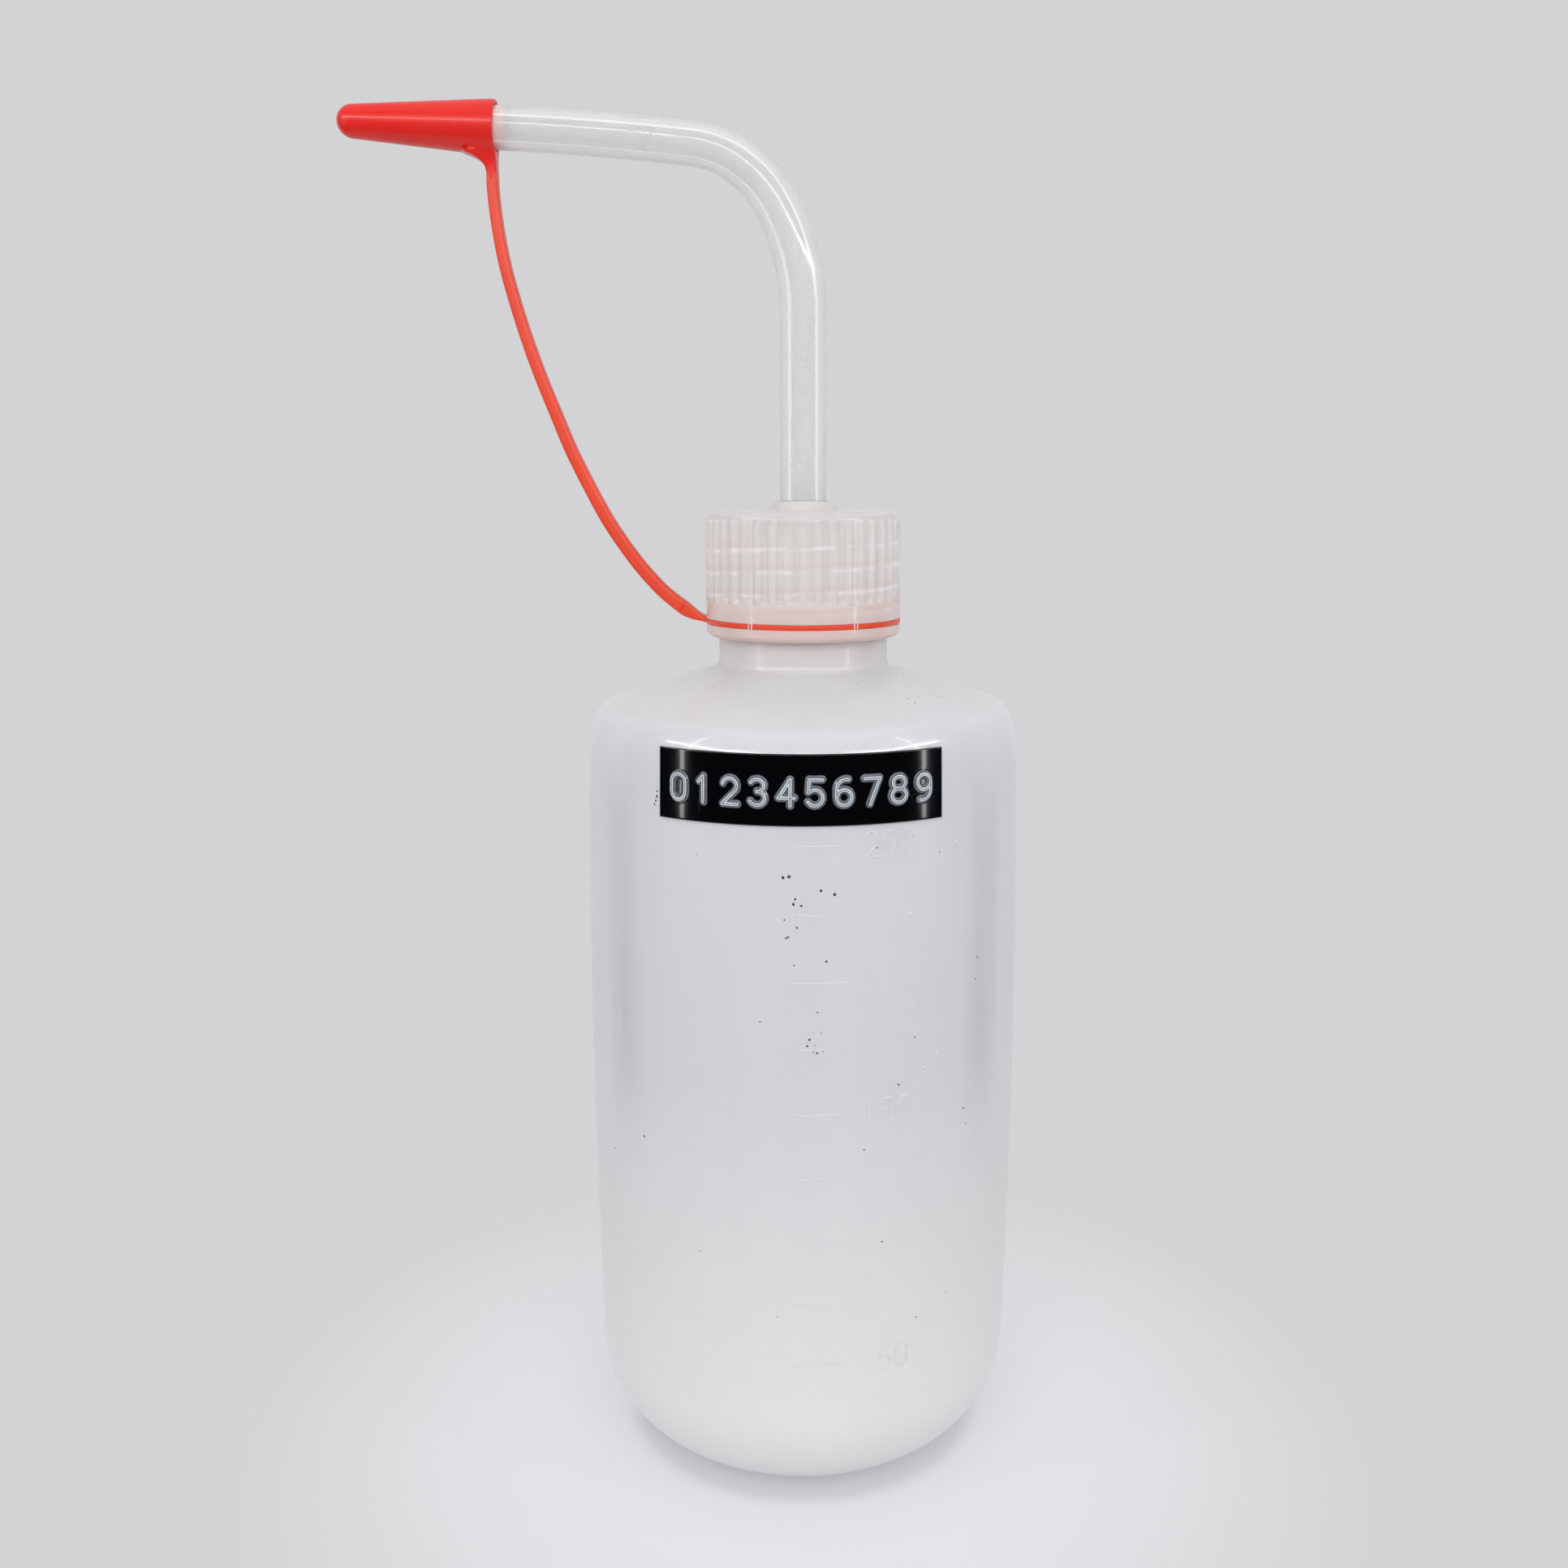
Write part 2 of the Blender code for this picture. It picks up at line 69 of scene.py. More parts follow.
class Wire:                          # a shader socket that can stand in a sum
    def __init__(self, tree, socket):
        self.tree = tree
        self.socket = socket

    def maths(self, operation, *values, clamp=False):
        node = self.tree.nodes.new("ShaderNodeMath")
        node.operation = operation
        node.use_clamp = clamp
        for place, value in zip(node.inputs, values):
            if isinstance(value, Wire):
                self.tree.links.new(value.socket, place)
            else:
                place.default_value = value
        return Wire(self.tree, node.outputs[0])

    def pair(operation):             # an operator and its reflected form
        return (lambda self, other: self.maths(operation, self, other),
                lambda self, other: self.maths(operation, other, self))

    __add__, __radd__ = pair("ADD")
    __sub__, __rsub__ = pair("SUBTRACT")
    __mul__, __rmul__ = pair("MULTIPLY")
    __truediv__, __rtruediv__ = pair("DIVIDE")
    __pow__, __rpow__ = pair("POWER")

    def clamped(self):
        return self.maths("ADD", self, 0.0, clamp=True)

    def between(self, low, high):    # 0 below low, 1 above high, eased
        return eased(((self - low) / (high - low)).clamped())


class Paint:                         # one material and its nodes
    def __init__(self, name, **sockets):
        self.material = bpy.data.materials.new(name)
        self.material.use_nodes = True
        self.tree = self.material.node_tree
        self.shader = self.tree.nodes["Principled BSDF"]
        self.coords = self.node("TexCoord", {}, {}, "Object")
        for socket, value in sockets.items():
            self.plug(self.shader.inputs[socket.replace("_", " ")], value)

    def plug(self, place, value):
        if isinstance(value, Wire):
            self.tree.links.new(value.socket, place)
        elif isinstance(value, (tuple, list)) and len(value) == 3 and place.type == "RGBA":
            place.default_value = (*value, 1.0)
        else:
            place.default_value = value

    def feed(self, socket, value):
        self.plug(self.shader.inputs[socket], value)

    def node(self, kind, settings, sockets, output=0):
        node = self.tree.nodes.new("ShaderNode" + kind)
        for name, value in settings.items():
            setattr(node, name, value)
        for name, value in sockets.items():
            self.plug(node.inputs[name], value)
        return Wire(self.tree, node.outputs[output])

    def noise(self, scale, detail=2.0, roughness=0.5, at=None):
        return self.node("TexNoise", {}, {
            "Vector": at or self.coords, "Scale": scale, "Detail": detail, "Roughness": roughness,
        })

    def stretched(self, scale):      # the coordinates, longer or shorter along each axis
        return self.node("Mapping", {"vector_type": "POINT"}, {"Vector": self.coords, "Scale": scale})

    def axis(self, name):
        return self.node("SeparateXYZ", {}, {"Vector": self.coords}, name)

    def mix(self, first, second, share):
        node = self.tree.nodes.new("ShaderNodeMix")
        node.data_type = "RGBA"
        self.plug(node.inputs[0], share)
        self.plug(node.inputs[6], first)
        self.plug(node.inputs[7], second)
        return Wire(self.tree, node.outputs[2])

    def bump(self, height, distance, strength):
        normal = self.node("Bump", {}, {"Height": height, "Distance": distance, "Strength": strength})
        self.feed("Normal", normal)
        return normal

    def cloudedOver(self, share, colour, roughness, normal):
        # a milky surface shares the skin with the clear one
        milk = self.node("BsdfPrincipled", {}, {
            "Base Color": colour, "Roughness": roughness, "IOR": plasticIndex, "Normal": normal,
        }, "BSDF")
        both = self.node("MixShader", {}, {"Fac": share}, "Shader")
        mixer = both.socket.node
        self.tree.links.new(self.shader.outputs["BSDF"], mixer.inputs[1])
        self.tree.links.new(milk.socket, mixer.inputs[2])
        self.tree.links.new(both.socket, self.tree.nodes["Material Output"].inputs["Surface"])


def addPiece(name, mesh, paint):
    piece = bpy.data.objects.new(name, mesh)
    bpy.context.scene.collection.objects.link(piece)
    if paint:
        mesh.materials.clear()
        mesh.materials.append(paint.material)
    return piece


def meshOf(name, shape):
    mesh = bpy.data.meshes.new(name)
    shape.to_mesh(mesh)
    shape.free()
    return mesh


def gridMesh(name, rows, closeRound=True, closeAlong=False, sharp=None):
    shape = bmesh.new()
    made = [[shape.verts.new(place) for place in row] for row in rows]
    count = len(rows[0])
    for i in range(len(made) if closeAlong else len(made) - 1):
        row, following = made[i], made[(i + 1) % len(made)]
        for j in range(count if closeRound else count - 1):
            k = (j + 1) % count
            shape.faces.new((row[j], row[k], following[k], following[j]))
    bmesh.ops.remove_doubles(shape, verts=shape.verts, dist=1e-7)
    bmesh.ops.recalc_face_normals(shape, faces=shape.faces)
    mesh = meshOf(name, shape)
    mesh.shade_smooth()
    if sharp:
        mesh.set_sharp_from_angle(angle=math.radians(sharp))
    return mesh


def lathe(name, profile, steps, paint, bulge=None, closeAlong=True, sharp=40):
    # profile is (radius, height); bulge gives a radius change at (radius, height, angle)
    rows = []
    for radius, height in profile:
        row = []
        for j in range(steps):
            angle = math.tau * j / steps
            r = radius + (bulge(radius, height, angle) if bulge else 0.0)
            row.append((r * math.cos(angle), r * math.sin(angle), height))
        rows.append(row)
    return addPiece(name, gridMesh(name, rows, True, closeAlong, sharp), paint)


def softened(corners, steps=4):
    # a profile whose corners (radius, height, rounding) are rounded off
    points = []
    count = len(corners)
    for i, (r, z, rounding) in enumerate(corners):
        here = Vector((r, z))
        if not rounding:
            points.append((r, z))
            continue
        before = Vector(corners[i - 1][:2])
        after = Vector(corners[(i + 1) % count][:2])
        toBefore = (before - here).normalized()
        toAfter = (after - here).normalized()
        start = here + toBefore * rounding
        end = here + toAfter * rounding
        for j in range(steps + 1):
            t = j / steps
            place = start * (1 - t) ** 2 + here * 2 * t * (1 - t) + end * t ** 2
            points.append((place.x, place.y))
    return points


def arc(middleR, middleZ, radiusR, radiusZ, start, end, count=10):
    # start and end in degrees
    places = []
    for i in range(count + 1):
        angle = math.radians(start + (end - start) * i / count)
        places.append((middleR + radiusR * math.cos(angle), middleZ + radiusZ * math.sin(angle)))
    return places


def directions(points):
    made = []
    for i in range(len(points)):
        ahead = points[min(i + 1, len(points) - 1)]
        behind = points[max(i - 1, 0)]
        made.append((ahead - behind).normalized())
    return made


def sweep(name, points, section, paint=None, side=Vector((0.0, 1.0, 0.0))):
    # section gives the outline's (across, up) offsets at each point; across lies along side
    rows = []
    along = directions(points)
    for i, place in enumerate(points):
        across = (side - along[i] * side.dot(along[i])).normalized()
        up = along[i].cross(across)
        rows.append([place + across * a + up * b for a, b in section(i)])
    rows = [[points[0]] * len(rows[0])] + rows + [[points[-1]] * len(rows[0])]
    return addPiece(name, gridMesh(name, rows), paint)


def circle(radius, steps):
    turns = [math.tau * i / steps for i in range(steps)]
    return [(radius * math.cos(turn), radius * math.sin(turn)) for turn in turns]


def flatOutline(width, thickness, rounding, steps=5):
    outline = []
    for cornerA, cornerB, start in ((1, 1, 0), (-1, 1, 90), (-1, -1, 180), (1, -1, 270)):
        for i in range(steps + 1):
            angle = math.radians(start + 90 * i / steps)
            outline.append((
                cornerA * (width / 2 - rounding) + rounding * math.cos(angle),
                cornerB * (thickness / 2 - rounding) + rounding * math.sin(angle),
            ))
    return outline


def smoothLine(places, perSpan):
    knots = [2 * places[0] - places[1]] + places + [2 * places[-1] - places[-2]]
    points = []
    for i in range(1, len(knots) - 2):
        a, b, c, d = knots[i - 1:i + 3]
        for j in range(perSpan):
            t = j / perSpan
            points.append(0.5 * (2 * b + (c - a) * t + (2 * a - 5 * b + 4 * c - d) * t ** 2
                                 + (3 * b - a - 3 * c + d) * t ** 3))
    points.append(places[-1])
    return points


def joined(name, pieces):
    bpy.ops.object.select_all(action="DESELECT")
    for piece in pieces:
        piece.select_set(True)
    bpy.context.view_layer.objects.active = pieces[0]
    bpy.ops.object.join()
    pieces[0].name = name
    return pieces[0]


def fused(name, pieces, voxel, smoothing, paint):
    # joins overlapping pieces into one skin with soft inner corners
    whole = joined(name, pieces)
    remesh = whole.modifiers.new("Skin", "REMESH")
    remesh.mode = "VOXEL"
    remesh.voxel_size = voxel
    remesh.use_smooth_shade = True
    even = whole.modifiers.new("Even", "SMOOTH")
    even.iterations = smoothing
    even.factor = 0.5
    graph = bpy.context.evaluated_depsgraph_get()
    mesh = bpy.data.meshes.new_from_object(whole.evaluated_get(graph), depsgraph=graph)
    whole.modifiers.clear()
    whole.data = mesh
    mesh.name = name
    mesh.materials.clear()
    mesh.materials.append(paint.material)
    mesh.shade_smooth()
    return whole


def finished(piece, body, slotName, *nodes):
    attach(piece, body)
    if nodes:
        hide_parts(*nodes)


viewpoint = {
    "place": (0.0, -219.28 * mm, 138.47 * mm),
    "tiltDown": 10.994,
    "lens": 36.056,
    "sensor": 36.0,
    "shiftAcross": -0.01216,
}


def makeCamera():
    data = bpy.data.cameras.new("camera")
    data.sensor_width = viewpoint["sensor"]
    data.lens = viewpoint["lens"]
    data.shift_x = viewpoint["shiftAcross"]
    data.clip_start = 0.01
    data.clip_end = 50.0
    camera = bpy.data.objects.new("camera", data)
    bpy.context.scene.collection.objects.link(camera)
    camera.location = viewpoint["place"]
    camera.rotation_euler = (math.radians(90.0 - viewpoint["tiltDown"]), 0.0, 0.0)
    bpy.context.scene.camera = camera


makeCamera()
print("camera made")


redLook = {
    "colour": (0.71, 0.012, 0.006),
    "thinColour": (0.74, 0.058, 0.022),
    "shade": (0.50, 0.007, 0.004),
    "grain": 900.0,
    "roughness": 0.34,
}


def redPaint(name, colour, coat, depth):
    paint = Paint(name, Subsurface_Weight=depth, Subsurface_Radius=(1.0, 0.12, 0.06),
                  Subsurface_Scale=1.2 * mm, IOR=plasticIndex, Specular_IOR_Level=0.4,
                  Coat_Weight=coat, Coat_Roughness=0.14)
    cloud = paint.noise(160.0, 3.0)
    fine = paint.noise(redLook["grain"], 4.0, 0.6)
    tint = paint.mix(redLook["shade"], colour, (0.72 + 0.45 * cloud).clamped())
    paint.feed("Base Color", tint)
    paint.feed("Roughness", (redLook["roughness"] + 0.16 * (fine - 0.5)).clamped())
    paint.bump(0.4 * fine + 0.6 * cloud, 0.03 * mm, 0.3)
    return paint


redSolid = redPaint("redPlastic", redLook["colour"], 0.22, 0.25)
redThin = redPaint("redStrapPlastic", redLook["thinColour"], 0.0, 0.0)

strapShape = {
    "width": 2.6 * mm,
    "topThickness": 1.40 * mm,
    "bottomThickness": 1.85 * mm,
    "rounding": 0.5 * mm,
    "route": (                       # X and Z in mm, from the tip cap's lug down to the ring's
        (-41.05, 178.20), (-41.00, 175.45), (-40.52, 170.83), (-39.72, 166.17),
        (-38.52, 161.48), (-37.10, 156.74), (-35.45, 151.97), (-33.56, 147.15),
        (-31.60, 142.29), (-29.23, 137.39), (-26.56, 132.44), (-23.14, 127.45),
        (-20.28, 124.10), (-18.50, 122.42), (-16.60, 120.95),
    ),
}
strapRoute = [Vector((x * mm, 0.0, z * mm)) for x, z in strapShape["route"]]
strapLine = smoothLine(strapRoute, 6)


def makeStrap():
    count = len(strapLine) - 1

    def outline(i):
        share = i / count
        thickness = strapShape["topThickness"] * (1 - share) + strapShape["bottomThickness"] * share
        return flatOutline(strapShape["width"], thickness, strapShape["rounding"])

    strap = sweep("tether_band", strapLine, outline, redThin)
    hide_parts("tether_strap")
    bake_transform(strap)
    return strap


makeStrap()
print("strap made")


studio = {
    "surround": (0.652, 0.652, 0.665),
    "floor": (0.40, 0.40, 0.41),
    "floorGlow": (0.365, 0.367, 0.377),
    # painted contact shadow: a darker floor glow in a ring round the bottle's foot, between the contact radii
    "paintedContactShadowGlow": (0.265, 0.265, 0.280),
    "contact": (0.0238, 0.0272),
    "floorRadius": 12.0,
    "nearFloor": 0.035,              # from here out the lit floor turns into the surround
    "farFloor": 0.092,
    "middle": (0.0, 0.0, 0.09),
    "frontFill": {"place": (0.0, -1.10, 0.75), "wide": 1.3, "high": 0.9, "power": 9.0},
    "topFill": {"place": (0.0, -0.10, 1.30), "wide": 1.4, "high": 1.4, "power": 2.0},
    "arcStrip": {"wide": 0.31, "high": 0.022, "power": 0.55},
    "arcTurns": (-64, -32, 0, 32, 64),
    "arcRadius": 0.56,
    "arcHeight": 0.36,
    "arcTarget": (0.0, 0.0, 0.10),
    "sideStrip": {"wide": 0.022, "high": 0.60, "power": 0.40},
    "sidePlace": (0.46, -0.24, 0.31),
    "flag": ((0.16, 0.001), (0.62, 0.001), (0.62, 0.90)),      # radius and height
}


def softbox(name, place, target, lamp, *hiddenFrom):
    data = bpy.data.lights.new(name, "AREA")
    data.shape = "RECTANGLE"
    data.size = lamp["wide"]
    data.size_y = lamp["high"]
    data.energy = lamp["power"]
    light = bpy.data.objects.new(name, data)
    bpy.context.scene.collection.objects.link(light)
    light.location = place
    light.rotation_euler = (Vector(target) - Vector(place)).to_track_quat("-Z", "Y").to_euler()
    hide(light, "camera", "transmission", *hiddenFrom)


def hide(thing, *kinds):
    for kind in kinds:
        setattr(thing, "visible_" + kind, False)


def makeStudio():
    world = bpy.data.worlds.new("studio")
    bpy.context.scene.world = world
    world.use_nodes = True
    ground = world.node_tree.nodes["Background"]
    ground.inputs["Color"].default_value = (*studio["surround"], 1.0)
    ground.inputs["Strength"].default_value = 1.0

    paint = Paint("studioFloor", Roughness=0.9, Specular_IOR_Level=0.0)
    away = (paint.axis("X") ** 2.0 + paint.axis("Y") ** 2.0) ** 0.5
    far = away.between(studio["nearFloor"], studio["farFloor"])
    paint.feed("Base Color", paint.mix(studio["floor"], (0.0, 0.0, 0.0), far))
    # painted contact shadow round the bottle's foot, fading into the even floor glow
    glow = paint.mix(studio["paintedContactShadowGlow"], studio["floorGlow"], away.between(*studio["contact"]))
    paint.feed("Emission Color", paint.mix(glow, studio["surround"], far))
    paint.feed("Emission Strength", 1.0)
    rings = []
    for i in range(24):
        r = studio["floorRadius"] * (i / 23) ** 2
        rings.append([(x, y, 0.0) for x, y in circle(r, 96)])
    floor = addPiece("floor", gridMesh("floor", rings), paint)
    floor.location.z = bottleLow.z - 0.02 * mm

    for name in ("frontFill", "topFill"):
        softbox(name, studio[name]["place"], studio["middle"], studio[name], "glossy")
    for turn in studio["arcTurns"]:
        angle = math.radians(turn - 90)
        radius = studio["arcRadius"]
        place = (radius * math.cos(angle), radius * math.sin(angle), studio["arcHeight"])
        softbox("arcStrip", place, studio["arcTarget"], studio["arcStrip"], "diffuse")
    across, depth, height = studio["sidePlace"]
    for name, way in (("leftStrip", -1), ("rightStrip", 1)):
        softbox(name, (way * across, depth, height), (0.0, 0.0, height), studio["sideStrip"])

    # dark flags in front, seen only in reflections
    rows = []
    for radius, height in studio["flag"]:
        turns = [math.radians(-90 + 105 * (i / 20 - 1)) for i in range(41)]
        rows.append([(radius * math.cos(t), radius * math.sin(t), height) for t in turns])
    flag = addPiece("flag", gridMesh("flag", rows, closeRound=False),
                    Paint("flagBlack", Base_Color=(0.01, 0.01, 0.01), Roughness=1.0, Specular_IOR_Level=0.0))
    hide(flag, "camera", "diffuse", "transmission", "shadow", "volume_scatter")


makeStudio()
bpy.context.scene.view_settings.view_transform = "Standard"
print("studio made")


bottleShape = {
    "bellyHeight": 59.0 * mm,
    "bellySag": 0.8 * mm,            # how far the side falls back over bellySpan
    "bellySpan": 50.0 * mm,
    "footRound": 14.5 * mm,
    "shoulderStart": 100.9 * mm,
    "shoulderDepth": 3.0 * mm,
    "shoulderRise": 7.2 * mm,
    "shoulderSlope": math.radians(17.3),
    "wall": 1.0 * mm,
    "floorWall": 1.3 * mm,
    "neckRadius": 11.7 * mm,
    "neckLand": 120.6 * mm,
    "neckBore": 9.4 * mm,
    "threadRoot": 10.8 * mm,
    "threadBead": 0.8 * mm,
    "threadPitch": 3.0 * mm,
    "threadStart": 122.3 * mm,
    "threadTurns": 2.0,
    "steps": 160,
}
bottleRadius = bottleHigh.x


def sideRadius(height):
    s = bottleShape
    return bottleRadius - s["bellySag"] * ((height - s["bellyHeight"]) / s["bellySpan"]) ** 2


def wallLine(inset, floorHeight):
    s = bottleShape
    foot = s["footRound"]
    start = s["shoulderStart"]
    points = arc(sideRadius(foot) - foot, foot, foot - inset, foot - floorHeight, -90.0, 0.0, 26)
    for i in range(1, 30):
        height = foot + (start - foot) * i / 30
        points.append((sideRadius(height) - inset, height))
    lineStart = math.degrees(math.atan(s["shoulderRise"] / s["shoulderDepth"] / math.tan(s["shoulderSlope"])))
    points += arc(sideRadius(start) - s["shoulderDepth"], start, s["shoulderDepth"] - inset,
                  s["shoulderRise"] - inset, 0.0, lineStart, 16)
    return points


def shoulderHeight(radius, inset):
    last = wallLine(inset, 0.0)[-1]
    return last[1] + (last[0] - radius) * math.tan(bottleShape["shoulderSlope"])


def beadHeight(height, angle, turns):
    # how far a round thread stands out at this height and angle
    start, pitch, bead = (bottleShape[name] for name in ("threadStart", "threadPitch", "threadBead"))
    best = 0.0
    for whole in range(int(turns) + 1):
        turn = angle / math.tau + whole
        if turn > turns:
            break
        away = abs(height - start - pitch * turn) / bead
        if away < 1.0:
            fade = min(1.0, 10.0 * min(turn, turns - turn) + 0.15)
            best = max(best, bead * fade * math.sqrt(1.0 - away * away))
    return best


frostLook = {
    "colour": (0.975, 0.982, 0.990),
    # painted red light from the red tether ring and strap, on the neck
    "paintedRingRedLight": (0.995, 0.90, 0.88),
    "milk": (0.88, 0.89, 0.91),
    "footMilk": (0.842, 0.840, 0.842),
    # painted shading: the tone of the shoulder's roll, set for how the light falls there
    "paintedShoulderShading": (0.89, 0.90, 0.915),
    # painted shade: a darker band near the side's silhouette
    "paintedEdgeShade": (0.74, 0.75, 0.775),
    "paintedRingRedLightMilk": (0.96, 0.85, 0.83),
    "roughness": 0.20,
    "milkRoughness": 0.42,
    "milkShare": 0.55,
    "footFade": (10.0 * mm, 70.0 * mm),          # heights where each tint comes in or goes out
    "shineFrom": (99.0 * mm, 104.0 * mm),
    "shineTo": (107.0 * mm, 110.0 * mm),
    "shoulderFrom": (104.5 * mm, 108.5 * mm),
    "shoulderTo": (111.0 * mm, 115.0 * mm),
    "pinkFrom": (110.0 * mm, 120.0 * mm),
    "bandFrom": (42.0 * mm, 70.0 * mm),
    "bandTo": (94.0 * mm, 104.0 * mm),
    "bandInner": (0.36, 0.50),                   # how far the skin turns away, 0 to 1
    "bandOuter": (0.56, 0.66),
}


def frostPaint():
    look = frostLook
    paint = Paint("frostedPlastic", Transmission_Weight=1.0, IOR=1.50, Coat_Roughness=0.05)
    height = paint.axis("Z")
    low = 1.0 - height.between(*look["footFade"])
    high = height.between(*look["shineFrom"])
    # painted shading over the shoulder's roll, between these heights
    shoulderShadingShare = height.between(*look["shoulderFrom"]) * (1.0 - 0.5 * height.between(*look["shoulderTo"]))
    cloud = paint.noise(45.0, 3.0)
    fine = paint.noise(1400.0, 3.0, 0.6)
    streak = paint.noise(260.0, 2.0, 0.5, paint.stretched((1.0, 1.0, 0.12)))
    # painted red light from the red tether ring and strap, on the neck below the cap
    ringRedLightShare = height.between(*look["pinkFrom"])
    paint.feed("Base Color", paint.mix(look["colour"], look["paintedRingRedLight"], ringRedLightShare))
    paint.feed("Roughness", (look["roughness"] + 0.08 * (cloud - 0.5) + 0.08 * (fine - 0.5)).clamped())
    normal = paint.bump(0.6 * fine + 0.15 * streak + 1.0 * cloud, 0.05 * mm, 0.4)
    facing = paint.node("LayerWeight", {}, {"Blend": 0.5}, "Facing")
    # painted shade: a darker band where the side turns away from view, standing in for refraction through the
    # wall
    edgeShadeShare = facing.between(*look["bandInner"]) * (1.0 - facing.between(*look["bandOuter"]))
    edgeShadeShare = edgeShadeShare * height.between(*look["bandFrom"]) * (1.0 - height.between(*look["bandTo"]))
    milk = paint.mix(look["milk"], look["footMilk"], (low + 0.3 * (cloud - 0.5)).clamped())
    milk = paint.mix(milk, look["paintedEdgeShade"], 0.8 * edgeShadeShare)
    # painted shading on the shoulder's roll
    milk = paint.mix(milk, look["paintedShoulderShading"], (shoulderShadingShare + 0.4 * (cloud - 0.5)).clamped())
    milk = paint.mix(milk, look["paintedRingRedLightMilk"], ringRedLightShare)
    shining = high * (1.0 - height.between(*look["shineTo"]))
    paint.feed("Coat Weight", 0.35 + 0.65 * shining)
    share = (look["milkShare"] + 0.20 * low + 0.02 * (streak - 0.5)).clamped()
    paint.cloudedOver(share, milk, look["milkRoughness"], normal)
    return paint


frost = frostPaint()


def makeBottle():
    s = bottleShape
    outer = wallLine(0.0, 0.0)
    inner = wallLine(s["wall"], s["floorWall"])
    neckTop = bottleHigh.z
    root = shoulderHeight(s["neckRadius"], 0.0)
    profile = [(0.0, 0.45 * mm), (7.6 * mm, 0.45 * mm), (8.2 * mm, 0.25 * mm), (8.8 * mm, 0.0),
               (9.3 * mm, 0.45 * mm), (10.7 * mm, 0.45 * mm), (11.2 * mm, 0.0)]
    profile += outer
    profile += softened([
        (s["neckRadius"] + 2.2 * mm, shoulderHeight(s["neckRadius"] + 2.2 * mm, 0.0), 0.0),
        (s["neckRadius"], root, 1.3 * mm),
        (s["neckRadius"], s["neckLand"], 0.25 * mm),
        (s["threadRoot"], s["neckLand"] + 0.5 * mm, 0.2 * mm),
        (s["threadRoot"], s["neckLand"] + 0.9 * mm, 0.0),
    ])
    threadTop = neckTop - 0.5 * mm
    rows = 44
    low = s["neckLand"] + 0.9 * mm
    profile += [(s["threadRoot"], low + (threadTop - low) * (i + 1) / rows) for i in range(rows)]
    middle = (s["threadRoot"] + s["neckBore"]) / 2
    half = (s["threadRoot"] - s["neckBore"]) / 2
    profile += arc(middle, neckTop - 0.45 * mm, half, 0.45 * mm, 25.0, 180.0, 8)
    profile += softened([
        (s["neckBore"], neckTop - 1.5 * mm, 0.0),
        (s["neckBore"], shoulderHeight(s["neckBore"], s["wall"]), 1.2 * mm),
        (s["neckBore"] + 2.4 * mm, shoulderHeight(s["neckBore"] + 2.4 * mm, s["wall"]), 0.0),
    ])
    profile += list(reversed(inner))
    profile += [(0.0, s["floorWall"])]

    def thread(radius, height, angle):
        if abs(radius - s["threadRoot"]) > 0.01 * mm or height < low:
            return 0.0
        return beadHeight(height, angle, s["threadTurns"])

    bottle = lathe("bottle_shell", profile, s["steps"], frost, thread, closeAlong=False, sharp=50)
    finished(bottle, "bottle", "frosted_bottle", "bottle")


makeBottle()
print("bottle made")


capShape = {
    "radius": 13.45 * mm,
    "bore": 12.0 * mm,
    "roof": 1.8 * mm,
    "ribs": 40,
    "ribHeight": 0.45 * mm,
    "ribBottom": 122.3 * mm,
    "ribTop": 133.4 * mm,
    "ribArch": 1.0 * mm,
    "ribFoot": 0.36,                 # half widths, as shares of the rib pitch
    "ribCrest": 0.17,
    "threadTurns": 1.4,
    "clipTurns": (-31, 31, 149, -149),
    "grooveFloor": 12.5 * mm,
    "grooveHalf": 0.345 * mm,
    "edge": 1.1 * mm,
    "lip": 0.5 * mm,
    "collarBase": 4.8 * mm,
    "collarTip": 3.85 * mm,
    "collarRise": 1.3 * mm,
    "boreGap": 0.3 * mm,
    "stepsPerRib": 12,
}
ringLevel = ringLow.z + 0.35 * mm    # the middle of the ring, whose tab only rises from it
tubeRadius = 3.15 * mm

capLook = {
    "colour": (0.992, 0.975, 0.965),
    # painted red light from the red tether ring, on the cap's skirt
    "paintedRingRedLight": (0.998, 0.93, 0.91),
    "milk": (0.985, 0.945, 0.92),
    "paintedRingRedLightMilk": (0.985, 0.775, 0.735),
    "paintedThreadHighlight": (1.0, 0.99, 0.98),
    "roughness": 0.10,
    "milkRoughness": 0.30,
    "milkShare": 0.52,
    "pinkTo": (118.0 * mm, 125.0 * mm),
    "threadLevel": 122.0 * mm,
    "threadFrom": (120.5 * mm, 121.5 * mm),
    "threadTo": (129.8 * mm, 130.4 * mm),
}


